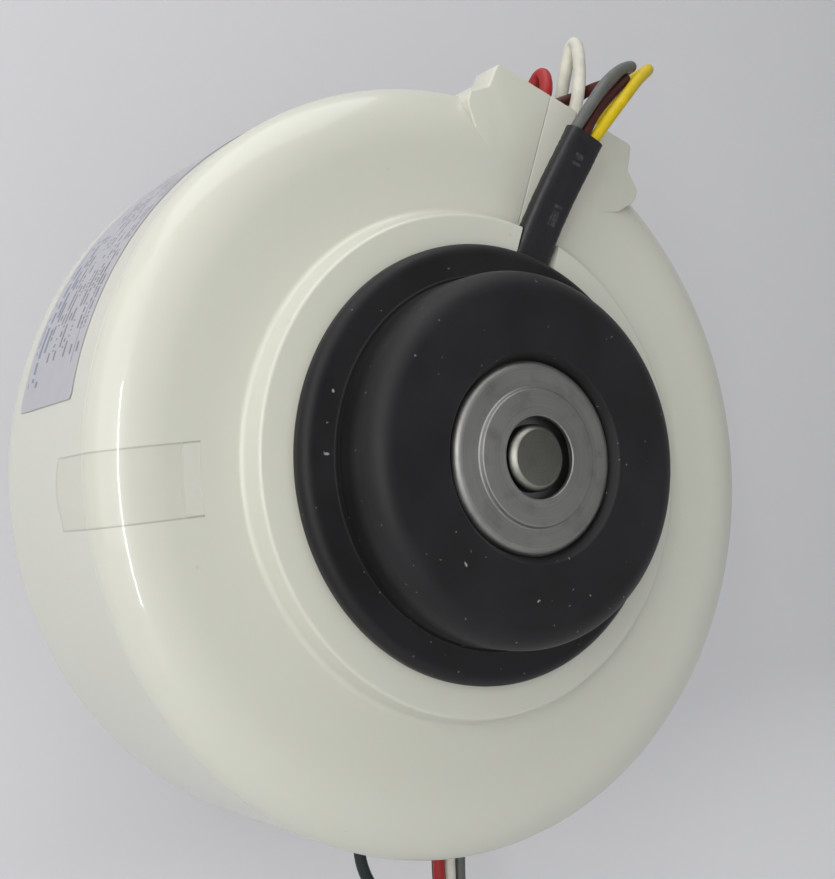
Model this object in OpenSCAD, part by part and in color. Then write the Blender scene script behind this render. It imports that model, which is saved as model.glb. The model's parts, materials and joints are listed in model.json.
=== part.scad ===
// Resin-cased single-phase fan motor with rubber ring mounts, a shaft at the drive end,
// a speed sensor at the other end, and six leads that end in two plugs.
//
// Every module draws in the motor's own frame: z runs along the shaft towards the sensor end,
// z = 0 is the flat face of the end cover, and y is up. in_place() then lays the shaft along Y,
// with the drive end towards +Y and the origin in the middle of the drive-end mounting ring.

/* [Casing] */
// Outside diameter of the casing
casing_d = 97.2; // [96.4:0.2:98.4]
// Length of the casing between its two flat faces
casing_l = 38; // [37.5:0.5:40]
// Height of the round raised boss on each flat face
boss_h = 2.85; // [2.4:0.05:3.2]
// Diameter of the raised boss at its foot
boss_d = 63.6; // [62:0.2:65]
// Thickness of the flat walls
plate_t = 2.5; // [2.2:0.1:2.6]

/* [Mounting rings] */
// Diameter of the rubber flange that rests on the boss
flange_d = 54; // [52:0.5:56]
// Thickness of the rubber flange
flange_t = 2.4; // [2:0.1:3]
// Diameter of the rubber cylinder that the chassis saddle clamps
ring_d = 45; // [44:0.5:46]
// Straight length of that cylinder
ring_l = 5; // [4.5:0.25:6]

/* [Shaft and bearings] */
// Shaft diameter, which is also the bearing bore
shaft_d = 8; // [8:8]
// Free length of the shaft beyond the drive-end bearing cup
drive_l = 45; // [35:1:60]
// Length of the flat at the end of the drive shaft
flat_l = 20; // [12:1:21]
// Depth of that flat
flat_h = 0.8; // [0.5:0.1:0.8]
// Outside diameter of the ball bearings
bearing_d = 22; // [22:22]
// Sheet thickness of the pressed bearing cups
cup_t = 0.6; // [0.5:0.05:0.6]

/* [Stator and rotor] */
// Number of stator teeth, and so of coils
teeth = 16; // [16:16]
// Length of the laminated stacks
stack_l = 17; // [16:0.5:17]
// Diameter of the rotor
rotor_d = 44.6; // [44:0.1:44.8]
// Number of bars in the rotor cage
bars = 22; // [18:1:24]

/* [Leads] */
// Direction of the lead outlet, clockwise from the top
outlet_turn = 25; // [25:25]
// Outside diameter of the three power leads
power_d = 1.8; // [1.5:0.1:1.8]
// Outside diameter of the three sensor leads
sensor_d = 1.55; // [1.3:0.05:1.6]

/* [Hidden] */
$fn = 96;
eps = 0.05;          // overlap that makes a cut or a union clean
gap = 0.03;          // play between pieces that touch

// casing
casing_r = casing_d / 2;
boss_r = boss_d / 2;
shoulder_w = 8;      // radial width of the cover's rounded shoulder
seam_z = -4.8;       // where the cover meets the casing
shoulder_r = 7.6;    // radius of the casing's shoulder at the drive end
lap_l = 2.5;         // length of the spigot that centres the cover
lap_ro = casing_r - 2.2;
lap_ri = casing_r - 4.3;
stator_r = casing_r - 5.05;
ledge_r = stator_r - 2;
boss_draft = 0.8;
boss_round = 0.5;

// bearing cups: the face is stepped, and the bearing sits under it
cup_r = bearing_d / 2 + cup_t;
cup_face_z = boss_h + flange_t + ring_l + 2.45;
cup_step_z = cup_face_z + 0.65;
cup_round = 1.2;
cup_step_r = 8.2;
cup_hole_r = shaft_d / 2 + 0.87;
cup_flange_r = 15;
ring_round = 2.85;   // rounded shoulder of the rubber ring
ring_top_z = boss_h + flange_t + ring_l + ring_round;

// bearing: an 8 x 22 x 7 deep-groove ball bearing
bearing_w = 7;
balls = 7;
ball_d = 3.95;
groove_r = 2;
pitch_r = 7.5;
bearing_z = cup_face_z - cup_t - 0.75 - bearing_w / 2;   // middle of the sensor-end bearing

// stator
stack_top = -10.5;
stack_bottom = stack_top - stack_l;
bore_r = rotor_d / 2 + 0.35;
shoe_t = 1.8;
slot_r = 37.3;
tooth_w = 5;
bobbin_t = 0.7;
coil_h = 4.6;

// lead outlet: a stepped block on the casing's edge, in a frame with x across it and y outwards
block_n = 51.5;      // distance of the block's outer face from the shaft
block_half = 12;
block_foot = 14.8;   // half width of its lower step
block_step = 45.9;   // distance of that step from the shaft
block_shift = 0.5;   // the block stands a little to one side of the outlet's middle line
block_end_z = -14;   // how far the casing's part of it reaches back
block_inset = 0.7;   // the casing's part is this much smaller than the cover's
channel_half = 2.45;
channel_z = -0.9;
bush_lo = -7.2;
bush_hi = 10.4;
bush_n = 46.6;
bush_top = -2;
bush_z = -8;
tongue_n = 32;       // the bush's flat tongue closes the channel from here outwards
bush_row_z = -3.3;
bush_edge = 0.45;
bridge = 2;          // half width of the web between the tongue and the bush
sleeve_half = 2.65;  // half the flattened sleeve's width
sleeve_t = 0.22;
notch_n = 49.1;
notch_z = -5.4;

origin_z = -(casing_l + boss_h + flange_t + ring_l / 2);

// ---- frames and helpers ----

module in_place() {
    rotate([90, 0, 0]) translate([0, 0, -origin_z]) children();
}

// Copies something from the sensor end to the drive end.
module at_drive_end() {
    translate([0, 0, -casing_l]) mirror([0, 0, 1]) children();
}

module at_outlet() {
    rotate([0, 0, -outlet_turn]) children();
}

// A point of the outlet's frame, in the motor's frame.
function outlet(x, y, z) =
    [x * cos(outlet_turn) + y * sin(outlet_turn), y * cos(outlet_turn) - x * sin(outlet_turn), z];

function around(r, angle, z) = [r * cos(angle), r * sin(angle), z];

function arc(cx, cy, rx, ry, from, to, steps) =
    [for (i = [0:steps]) let (a = from + (to - from) * i / steps) [cx + rx * cos(a), cy + ry * sin(a)]];

module tube(ro, ri, z0, z1) {
    translate([0, 0, z0]) difference() {
        cylinder(r = ro, h = z1 - z0);
        translate([0, 0, -eps]) cylinder(r = ri, h = z1 - z0 + 2 * eps);
    }
}

module block(x0, x1, y0, y1, z0, z1) {
    translate([x0, y0, z0]) cube([x1 - x0, y1 - y0, z1 - z0]);
}

// A box with rounded upright edges, built from plain boxes and cylinders.
module rounded_plate(w, d, h, r) {
    linear_extrude(h) union() {
        square([w - 2 * r, d], center = true);
        square([w, d - 2 * r], center = true);
        for (x = [-1, 1], y = [-1, 1]) translate([x * (w / 2 - r), y * (d / 2 - r)]) circle(r);
    }
}

function unit(v) = v / norm(v);

function spline_point(a, b, c, d, u) =
    0.5 * (2 * b + (c - a) * u + (2 * a - 5 * b + 4 * c - d) * u * u + (3 * b - a - 3 * c + d) * u * u * u);

// A smooth curve through every point of a list.
function spline(p, steps) = let (last = len(p) - 1) concat(
    [for (i = [0:last - 1], s = [0:steps - 1])
        spline_point(p[max(i - 1, 0)], p[i], p[i + 1], p[min(i + 2, last)], s / steps)],
    [p[last]]);

function tangents(p) = [for (i = [0:len(p) - 1]) unit(p[min(i + 1, len(p) - 1)] - p[max(i - 1, 0)])];

// Carries a side direction along a curve without twist.
function carried(t, side, i = 0) =
    i == len(t) ? [] : let (s = unit(side - (side * t[i]) * t[i])) concat([s], carried(t, s, i + 1));

// Sweeps a closed outline along a curve. The outline's x axis starts along side.
module sweep(path, outline, side) {
    n = len(outline);
    t = tangents(path);
    s = carried(t, side);
    points = [for (i = [0:len(path) - 1], q = outline) path[i] + q[0] * s[i] + q[1] * cross(t[i], s[i])];
    walls = [for (i = [0:len(path) - 2], k = [0:n - 1]) let (a = i * n + k, b = i * n + (k + 1) % n)
        each [[a, a + n, b], [b, a + n, b + n]]];
    caps = [[for (k = [0:n - 1]) k], [for (k = [n - 1:-1:0]) (len(path) - 1) * n + k]];
    polyhedron(points, concat(walls, caps));
}

function oval(rx, ry, n) = [for (i = [0:n - 1]) [rx * cos(360 * i / n), ry * sin(360 * i / n)]];

// A flattened tube's outline: between an oval and a rectangle.
function flat_oval(rx, ry, n) = [for (i = [0:n - 1]) let (c = cos(360 * i / n), s = sin(360 * i / n))
    [rx * sign(c) * sqrt(abs(c)), ry * sign(s) * sqrt(abs(s))]];

// ---- casing ----

// The boss's sloping edge, from the flat face up to the boss's top.
function boss_edge(sign, z0) = concat(
    [[boss_r, z0]],
    [for (p = arc(boss_r - boss_draft - boss_round, boss_h - boss_round, boss_round, boss_round, 15, 90, 4))
        [p[0], z0 + sign * p[1]]]);

module outlet_block(z0, z1, inset) {
    // the foot narrows towards the shaft, so that it runs out into the cover's shoulder
    foot = [[9.5, 39.8], [12.6, 41.5], [block_foot - 0.3, 43.8], [block_foot, 44.6]];
    side = concat(foot, [[block_foot, block_step - inset], [block_half + 0.4, block_step + 1.9 - inset],
        [block_half, block_n - inset]]);
    right = [for (p = side) [p[0] - inset, p[1]]];
    left = [for (i = [len(side) - 1:-1:0]) [-right[i][0], right[i][1]]];
    at_outlet() translate([block_shift, 0, z0]) linear_extrude(z1 - z0) polygon(concat(right, left));
}

module bush_space(grow) {
    at_outlet() block(bush_lo - grow, bush_hi + grow, bush_n - grow, block_n + eps + grow,
        bush_z - eps, bush_top + grow);
}

// The way the leads take over the bush and the casing's part of the block.
module lead_notch() {
    at_outlet() block(bush_lo + bush_edge, bush_hi - bush_edge, notch_n, block_n + 1,
        block_end_z - 1, notch_z);
}

module motor_casing() {
    floor_z = -casing_l + plate_t;
    boss_floor_z = -casing_l - boss_h + plate_t;
    drop = seam_z - lap_l - gap;
    outer = concat(
        [[lap_ro + gap, seam_z], [casing_r, seam_z]],
        arc(casing_r - shoulder_r, -casing_l + shoulder_r, shoulder_r, shoulder_r, 0, -90, 15),
        boss_edge(-1, -casing_l),
        [[cup_r + gap, -casing_l - boss_h], [cup_r + gap, boss_floor_z]]);
    inner = [[boss_r - 3.2, boss_floor_z], [boss_r - 2.2, floor_z], [ledge_r, floor_z],
        [ledge_r, stack_bottom - gap], [stator_r + gap, stack_bottom - gap], [stator_r + gap, drop],
        [lap_ro + gap, drop]];
    color("ivory") difference() {
        union() {
            rotate_extrude() polygon(concat(outer, inner));
            difference() {
                outlet_block(block_end_z, seam_z, block_inset);
                translate([0, 0, block_end_z - eps]) cylinder(r = lap_ro + gap, h = -block_end_z);
            }
        }
        bush_space(gap);
        lead_notch();
    }
}

module end_cover() {
    profile = concat(
        [[cup_r + gap, boss_h - plate_t], [cup_r + gap, boss_h]],
        [for (i = [5:-1:0]) boss_edge(1, 0)[i]],
        arc(casing_r - shoulder_w, seam_z, shoulder_w, -seam_z, 90, 0, 15),
        [[lap_ro, seam_z], [lap_ro, seam_z - lap_l], [lap_ri, seam_z - lap_l]],
        arc(casing_r - shoulder_w, seam_z, lap_ri - casing_r + shoulder_w, -seam_z - plate_t, 0, 90, 8),
        [[boss_r - 2.2, -plate_t], [boss_r - 3.2, boss_h - plate_t]]);
    color("ivory") difference() {
        union() {
            rotate_extrude() polygon(profile);
            outlet_block(seam_z, 0, 0);
            at_outlet() block(-4.5, 4.5, 25.5, 31.2, -plate_t, boss_h - plate_t + eps);
            board_pegs(1.1, -3.2, boss_h - plate_t + eps);
        }
        at_outlet() {
            block(-sleeve_half - 0.1, sleeve_half + 0.1, 20.5, tongue_n, channel_z, boss_h + 1);
            block(-channel_half, channel_half, 20.5, block_n + 1, channel_z, boss_h + 1);
            block(-channel_half, channel_half, 20.5, 25.5, -plate_t - 1, boss_h + 1);
            block(-6.8, 5.4, 35, bush_n + eps, seam_z - lap_l - 1, -2.2);
            block(-bridge - gap, bridge + gap, 49.5, block_n + 1, bush_top - eps, channel_z + eps);
        }
        bush_space(gap);
    }
}

module board_pegs(r, z0, z1) {
    for (a = [125, 245, 5]) rotate([0, 0, a]) translate([21, 0, z0]) cylinder(r = r, h = z1 - z0);
}

// The bush holds the power leads in a row of holes, and all leads leave through its notch.
module lead_bush() {
    color("white") difference() {
        at_outlet() {
            block(bush_lo, bush_hi, bush_n, block_n, bush_z, bush_top);
            block(-channel_half + gap, channel_half - gap, tongue_n, block_n, channel_z + gap, 0);
            block(-bridge, bridge, 49.5 + gap, block_n, bush_top - eps, channel_z + gap + eps);
        }
        at_outlet() for (x = power_x) translate([x, bush_n - 1, bush_row_z]) rotate([-90, 0, 0])
            cylinder(r = power_d / 2 + 0.08, h = 8);
        lead_notch();
    }
}

// ---- bearing cups, rings and bearings ----

module bearing_cup() {
    outer = concat(
        [[cup_flange_r, boss_h - plate_t - gap - cup_t], [cup_flange_r, boss_h - plate_t - gap],
            [cup_r, boss_h - plate_t - gap]],
        arc(cup_r - cup_round, cup_face_z - cup_round, cup_round, cup_round, 0, 90, 6),
        [[cup_step_r + 0.25, cup_face_z + 0.1], [cup_step_r - 0.25, cup_step_z],
            [cup_hole_r, cup_step_z + 0.1]]);
    inner = concat(
        [[cup_hole_r, cup_step_z + 0.1 - cup_t], [cup_step_r - 0.4, cup_step_z - cup_t],
            [cup_step_r + 0.1, cup_face_z + 0.1 - cup_t]],
        arc(cup_r - cup_round, cup_face_z - cup_round, cup_round - cup_t, cup_round - cup_t, 90, 0, 4),
        [[cup_r - cup_t, boss_h - plate_t - gap - cup_t]]);
    color("silver") rotate_extrude() polygon(concat(outer, inner));
}

module mounting_ring() {
    edge = 1;        // rounding of the flange's rim
    z0 = boss_h + gap;
    z1 = boss_h + flange_t;
    profile = concat(
        [[cup_r + gap, z0], [flange_d / 2 - 0.3, z0], [flange_d / 2, z0 + 0.3]],
        arc(flange_d / 2 - edge, z1 - edge, edge, edge, 0, 90, 5),
        [[ring_d / 2 + 0.35, z1], [ring_d / 2 + 0.35, z1 + 0.3], [ring_d / 2, z1 + 0.3]],
        arc(ring_d / 2 - ring_round, ring_top_z - ring_round, ring_round, ring_round, 0, 90, 9),
        [[cup_r + 0.9, ring_top_z], [cup_r + gap, ring_top_z - 0.9]]);
    color("#222226") rotate_extrude() polygon(profile);
}

module bearing_outer_ring() {
    color("lightsteelblue") rotate_extrude() difference() {
        translate([9.1, -bearing_w / 2]) square([bearing_d / 2 - gap - 9.1, bearing_w]);
        translate([pitch_r, 0]) circle(r = groove_r);
        for (s = [-1, 1]) translate([9, s * 3.3 - 0.35]) square([0.5, 0.7]);
    }
}

module bearing_inner_ring() {
    color("lightsteelblue") rotate_extrude() difference() {
        translate([shaft_d / 2 + 0.01, -bearing_w / 2]) square([1.95, bearing_w]);
        translate([pitch_r, 0]) circle(r = groove_r);
    }
}

module bearing_balls() {
    color("gainsboro") for (i = [0:balls - 1]) rotate([0, 0, 360 * i / balls])
        translate([pitch_r, 0, 0]) sphere(d = ball_d);
}

// A crown cage: a ring with a snap-in pocket for each ball.
module bearing_ball_cage() {
    color("saddlebrown") difference() {
        tube(8.3, 6.7, -2.7, 0.9);
        for (i = [0:balls - 1]) rotate([0, 0, 360 * i / balls])
            translate([pitch_r, 0, 0]) sphere(d = ball_d + 0.12);
    }
}

module bearing_shields() {
    color("silver") for (s = [-1, 1]) tube(9.45, 6.2, s * 3.3 - 0.12, s * 3.3 + 0.12);
}

// A three-lobed wave washer between the sensor-end cup and its bearing.
module preload_washer() {
    lobes = 3;
    steps = 36;
    thick = 0.25;
    rise = 0.2;
    z0 = bearing_z + bearing_w / 2 + rise + 0.05;
    height = function (a) z0 + rise * sin(lobes * a);
    corners = [[8.9, 0], [10.2, 0], [10.2, thick], [8.9, thick]];
    points = [for (i = [0:steps - 1], c = corners) let (a = 360 * i / steps)
        around(c[0], a, height(a) + c[1])];
    faces = [for (i = [0:steps - 1], k = [0:3])
        let (a = 4 * i + k, b = 4 * i + (k + 1) % 4, n = 4 * steps)
        each [[a, b, (a + 4) % n], [b, (b + 4) % n, (a + 4) % n]]];
    color("silver") polyhedron(points, faces);
}

// ---- stator ----

module each_tooth(parity) {
    for (i = [0:teeth - 1]) if (parity == 2 || i % 2 == parity) rotate([0, 0, 360 * i / teeth]) children();
}

module stator_core() {
    color("slategray") translate([0, 0, stack_bottom]) linear_extrude(stack_l) difference() {
        circle(r = stator_r);
        circle(r = bore_r);
        difference() {
            circle(r = slot_r);
            circle(r = bore_r + shoe_t);
            each_tooth(2) translate([-tooth_w / 2, bore_r - 1]) square([tooth_w, slot_r - bore_r + 2]);
        }
        each_tooth(2) rotate([0, 0, 180 / teeth]) translate([-1.1, bore_r - 1]) square([2.2, 4]);
    }
}

module coil_bobbins() {
    half = tooth_w / 2 + gap;
    wall = half + bobbin_t;
    rim = bobbin_t + coil_h + 0.15;
    color("whitesmoke") each_tooth(2) difference() {
        union() {
            block(-wall, wall, 24.7, 36.7, stack_bottom - gap - bobbin_t, stack_top + gap + bobbin_t);
            block(-4.5, 4.5, 24.7, 25.3, stack_bottom - rim, stack_top + rim);
            block(-6.3, 6.3, 36.1, 36.7, stack_bottom - rim, stack_top + rim);
        }
        block(-half, half, 20, 40, stack_bottom - gap, stack_top + gap);
    }
}

module coils(parity) {
    inner = tooth_w / 2 + gap + bobbin_t + gap;
    z_in = gap + bobbin_t + gap;
    height = stack_l + 2 * (z_in + coil_h);
    each_tooth(parity) difference() {
        intersection() {
            translate([0, 0, stack_bottom - z_in - coil_h]) linear_extrude(height)
                polygon([[-4.45, 25.35], [4.45, 25.35], [6.25, 36.05], [-6.25, 36.05]]);
            translate([0, 25, stack_bottom + stack_l / 2]) rotate([-90, 0, 0])
                rounded_plate(12.6, height, 12, 3);
        }
        block(-inner, inner, 20, 40, stack_bottom - z_in, stack_top + z_in);
    }
}

module main_coils() {
    color("peru") coils(0);
}

module auxiliary_coils() {
    color("sienna") coils(1);
}

module terminal_pins() {
    color("goldenrod") at_outlet() for (x = power_x)
        block(x - 0.4, x + 0.4, 37.3, 38.5, -10.4, -2.9);
}

// ---- speed sensor and thermal fuse ----

board_top = -1;
board_t = 1.2;
board_r = 25;

module sensor_board() {
    color("seagreen") difference() {
        tube(board_r, 12.6, board_top - board_t, board_top);
        board_pegs(1.2, -4, 0);
    }
}

module board_components() {
    color("black") for (a = [150, 180, 300]) rotate([0, 0, a])
        block(16.5, 19.5, -1, 1, board_top - board_t - 1.2, board_top - board_t - gap);
    color("tan") for (a = [165, 200, 320]) rotate([0, 0, a])
        block(20, 22, -0.65, 0.65, board_top - board_t - 0.7, board_top - board_t - gap);
}

module hall_sensor() {
    color("#303030") at_outlet() block(-2, 2, 10.4, 13.9, board_top - board_t - 1.7,
        board_top - board_t - gap);
}

module thermal_fuse() {
    color("wheat") rotate([0, 0, 202.5]) translate([31, 0, stack_top + coil_h + 1.0])
        rounded_plate(5, 11, 1.7, 0.8);
}

// ---- rotor ----

module shaft_groove(z) {
    tube(shaft_d, 3.55, z - 0.45, z + 0.45);
}

groove_z = bearing_z - bearing_w / 2 - 0.5;
relief_w = 0.8;      // shallow relief between the bearing seat and the free journal
relief_h = 0.3;
shaft_top = cup_step_z + 0.02;
shaft_bottom = -casing_l - cup_step_z - 0.1 - drive_l;

module rotor_shaft() {
    chamfer = 0.5;
    r = shaft_d / 2;
    profile = [[0, shaft_bottom], [r - chamfer, shaft_bottom], [r, shaft_bottom + chamfer],
        [r, shaft_top - chamfer], [r - chamfer, shaft_top], [0.7, shaft_top], [0, shaft_top - 0.5]];
    color("gray") difference() {
        rotate_extrude() polygon(profile);
        shaft_groove(groove_z);
        at_drive_end() shaft_groove(groove_z);
        at_drive_end() tube(shaft_d, r - relief_h, cup_step_z + 0.3, cup_step_z + 0.3 + relief_w);
        translate([-shaft_d, r - flat_h, shaft_bottom - 1]) cube([2 * shaft_d, shaft_d, flat_l + 1]);
    }
}

bar_r = 1.6;
bar_at = rotor_d / 2 - 2.7;

module rotor_core() {
    color("dimgray") translate([0, 0, stack_bottom]) linear_extrude(stack_l) difference() {
        circle(r = rotor_d / 2);
        circle(r = shaft_d / 2 + 0.01);
        for (i = [0:bars - 1]) rotate([0, 0, 360 * i / bars]) translate([bar_at, 0])
            circle(r = bar_r + 0.02);
    }
}

// The die-cast cage: bars, an end ring at each end, and small cooling fins.
module rotor_cage() {
    ring_t = 4;
    fins = 8;
    color("lightgray") union() {
        for (i = [0:bars - 1]) rotate([0, 0, 360 * i / bars])
            translate([bar_at, 0, stack_bottom - 1]) cylinder(r = bar_r, h = stack_l + 2);
        tube(rotor_d / 2 - 0.5, 14.5, stack_top + gap, stack_top + ring_t);
        tube(rotor_d / 2 - 0.5, 14.5, stack_bottom - ring_t, stack_bottom - gap);
        for (i = [0:fins - 1], z = [stack_top + ring_t - 1, stack_bottom - ring_t - 2])
            rotate([0, 0, 360 * i / fins]) block(15.5, 20.5, -0.8, 0.8, z, z + 3);
    }
}

module sensor_magnet() {
    color("#3a3632") tube(9, shaft_d / 2 + 0.01, -6.2, -1.8);
}

// An open snap ring in a groove of the shaft, inboard of a bearing.
module retaining_ring() {
    color("darkgray") difference() {
        tube(5.3, 3.6, groove_z - 0.4, groove_z + 0.4);
        translate([-1.2, 0, groove_z - 1]) cube([2.4, 8, 2]);
    }
}

// ---- leads ----

power_x = [-5.4, -1.3, 4.1];     // across the outlet: black, red, white
sensor_x = [6.5, 1.4, 9.1];      // grey, brown, yellow
run_z = -casing_l - 1.3;         // leads lie this deep behind the casing's flat face
lane_r = [33.1, 35.15, 38.85, 40.65, 37, 42.35];
leave_a = [-62, -50, -46, -43, -48, -41];   // direction in which each lead leaves its lane
lane_steps = 8;
hang_z = run_z - 0.7;
tie_y = -74;
plug_top = -92;
power_plug_x = 8;
power_pitch = 3.96;
sensor_plug_x = 21.5;
sensor_pitch = 2.5;

// From the outlet's notch along the casing and round its back, in the lane of lead k.
function back_run(k, x) = let (r0 = norm([x, 50.25]), a0 = 90 - outlet_turn - atan(x / 50.25)) concat(
    [outlet(x, 50.25, -12.2), around(r0, a0, -15.5), around(r0, a0, -21), around(r0, a0 - 0.4, -28),
        around(49.4, a0 - 2, -33.4), around(47, a0 - 4.5, -37), around(44.1, a0 - 7, -38.8),
        around(lane_r[k] + 0.3 * (44.1 - lane_r[k]), a0 - 11, run_z)],
    [for (i = [0:lane_steps]) around(lane_r[k] + 0.16 * pow(max(0, i - lane_steps + 2), 2),
        a0 - 20 + (leave_a[k] - a0 + 20) * i / lane_steps, run_z)]);

// Points of lead k between the back of the casing and the tie, with z counted from hang_z.
slack = [
    [[7.6, -35.9, 0.3], [2.6, -45, 0], [-0.2, -54.5, 0], [1.8, -61.5, 0], [7.4, -67, 0]],
    [[18, -34.2, 0.3], [15.8, -43, 0], [13.9, -56, 0], [13.1, -65, 0]],
    [[21.4, -34.7, 0.3], [18.3, -43, 0], [16, -56, 0], [15.1, -65, 0]],
    [[24.1, -34.7, 0.3], [20.8, -43, 0], [18.2, -56, 0], [17, -65, 0]],
    [[20.2, -34, -1.1], [17.6, -42.5, -1.9], [14.9, -56, -2], [14, -65, -1.9]],
    [[27, -34.5, -0.3], [22.6, -42, -1.5], [18, -56, -2.1], [16, -65, -1.9]]];
tie_at = [[10.9, 0], [13, 0], [15.1, 0], [17.2, 0], [13.9, -1.8], [15.9, -1.8]];
fan_at = [[8.6, -0.2], [10.9, -0.2], [13.5, -0.2], [20.2, -0.2], [15.7, -2], [18.4, -1.7]];

function hanging(k) = concat([for (p = slack[k]) p + [0, 0, hang_z]],
    [for (y = [4, 0, -4]) [tie_at[k][0], tie_y + y, hang_z + tie_at[k][1]]],
    [[fan_at[k][0], plug_top + 7.5, hang_z + fan_at[k][1]]]);

// Pin positions across the plugs. The sensor plug takes brown, yellow, grey from left to right.
function pin_x(k) = k < 3 ? power_plug_x + (k - 1) * power_pitch
    : sensor_plug_x + [1, -1, 0][k - 3] * sensor_pitch;

function into_plug(k) = [[pin_x(k), plug_top + 2, hang_z - 0.5], [pin_x(k), plug_top - 3, hang_z - 0.5]];

loop_h = [1.4, 5.3, 12.5];
loop_lean = [0, -0.3, -1.8];
loop_z = -6.75;                  // the loops come back to the casing this low
loop_pinch = 0.7;                // the two legs draw together by this much each below the top

function power_start(k) = let (x = power_x[k], h = loop_h[k], s = loop_lean[k], z0 = bush_row_z,
    z1 = loop_z) [
    outlet(x, 38.7, z0), outlet(x, 45, z0), outlet(x, block_n, z0),
    outlet(x + 0.2 * s, block_n + 0.45 * h, z0 + 0.2),
    outlet(x + 0.75 * s, block_n + 0.88 * h, z0 - loop_pinch),
    outlet(x + s, block_n + h, (z0 + z1) / 2),
    outlet(x + 0.75 * s, block_n + 0.88 * h, z1 + loop_pinch),
    outlet(x + 0.2 * s, block_n + 0.45 * h, z1 - 0.2),
    outlet(x, block_n, z1), outlet(x, 50.5, z1 - 0.6)];

// The sleeve's middle line: out of the cover under the ring's flange, then rising along the channel.
sleeve_line = [[0, 24.8, 0.6], [0, 28.4, 1.4], [-0.2, 33, 2.7], [-0.4, 37.5, 4], [-0.1, 42, 5.3],
    [0.15, 44.9, 6.1]];
sensor_shift = [-1.6, 0, 1.6];

// Beyond the sleeve: over in an arc and back to the notch, for grey, brown and yellow.
sensor_arc = [
    [[-0.75, 48.5, 7.2], [0.8, 52.6, 7], [4.1, 57.2, 5], [7.5, 60.4, 2.6], [8, 60.5, 0.2],
        [7.5, 58.7, -2.4], [6.9, 55.6, -4.5], [6.6, 52, -6.1], [6.5, 50.6, -7.6]],
    [[0.95, 48.3, 6], [3.1, 52.6, 5.4], [5.9, 56.9, 3.9], [7.3, 58.6, 1.4], [6.4, 58.2, -1],
        [5.58, 57.6, -3.2], [5.3, 57.1, -4.8], [3.7, 55.6, -5.05], [2.1, 54.1, -5.6], [1.4, 51.8, -7],
        [1.4, 50.6, -8.6]],
    [[2.7, 48.4, 7], [4.5, 52.5, 6.8], [7.2, 57.2, 5], [10.5, 61.6, 2.4], [11.4, 62.4, 0.2],
        [10.9, 60.9, -2.6], [9.4, 57, -4.8], [9, 52.5, -6.1], [9.1, 50.6, -7.6]]];

function sensor_start(k) = let (s = sensor_shift[k - 3]) concat(
    [outlet(s, 21, -0.15), outlet(s, 22.8, 0)],
    [for (p = sleeve_line) outlet(p[0] + s, p[1], p[2])],
    [for (p = sensor_arc[k - 3]) outlet(p[0], p[1], p[2])]);

function lead_path(k) = concat(k < 3 ? power_start(k) : sensor_start(k),
    back_run(k, k < 3 ? power_x[k] : sensor_x[k - 3]), hanging(k), into_plug(k));

module lead(k) {
    r = (k < 3 ? power_d : sensor_d) / 2;
    sweep(spline(lead_path(k), 2), oval(r, r, 8), outlet(1, 0, 0));
}

module sensor_sleeve() {
    path = spline([for (p = sleeve_line) outlet(p[0], p[1], p[2])], 3);
    long = [for (i = [0:len(path) - 1]) i == 0 ? path[0] + 0.2 * (path[0] - path[1])
        : i == len(path) - 1 ? path[i] + 0.2 * (path[i] - path[i - 1]) : path[i]];
    color("#1c1c20") difference() {
        sweep(path, flat_oval(sleeve_half, 1.4, 24), outlet(1, 0, 0));
        sweep(long, flat_oval(sleeve_half - sleeve_t, 1.4 - sleeve_t, 24), outlet(1, 0, 0));
    }
}

// ---- tie and plugs ----

module cable_tie() {
    w = 8.5;
    d = 4.2;
    x = 14.2;
    z = hang_z - 0.9;
    color("whitesmoke") translate([x, tie_y, z]) rotate([90, 0, 0]) translate([0, 0, -1.25]) {
        difference() {
            rounded_plate(w + 2, d + 2, 2.5, 2);
            translate([0, 0, -eps]) rounded_plate(w, d, 2.5 + 2 * eps, 0.8);
        }
        translate([0, -d / 2 - 2.4, 0]) block(-2.4, 2.4, -1.5, 1.5, -0.6, 3.1);
    }
}

module plug(x, w, d, l, pitch, hole) {
    z = hang_z - 0.5;
    difference() {
        translate([x, plug_top - l, z]) rotate([-90, 0, 0]) rounded_plate(w, d, l, 0.6);
        for (i = [-1:1]) block(x + i * pitch - hole / 2, x + i * pitch + hole / 2,
            plug_top - l - 1, plug_top + 1,
            z - hole / 2, z + hole / 2);
        for (s = [-1, 1]) block(x + s * w / 2 - 0.6, x + s * w / 2 + 0.6, plug_top - l - 1, plug_top - 5,
            z - 1, z + 1);
    }
    block(x - w / 4, x + w / 4, plug_top - l + 1.5, plug_top - 3, z + d / 2 - eps, z + d / 2 + 1);
}

module plug_contacts(x, pitch, w, l) {
    z = hang_z - 0.5;
    color("gold") for (i = [-1:1])
        block(x + i * pitch - w / 2, x + i * pitch + w / 2, plug_top - l, plug_top - 3.1,
            z - w / 2, z + w / 2);
}

module power_plug() {
    color("ivory") plug(power_plug_x, 13, 8, 15, power_pitch, 2.5);
}

module sensor_plug() {
    color("ivory") plug(sensor_plug_x, 10, 6, 12, sensor_pitch, 1.9);
}

// ---- label and tape ----

module rating_label() {
    color("lightsteelblue") rotate([0, 0, 97]) translate([0, 0, -28.2])
        rotate_extrude(angle = 68) translate([casing_r + 0.02, 0]) square([0.12, 18.4]);
}

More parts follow.
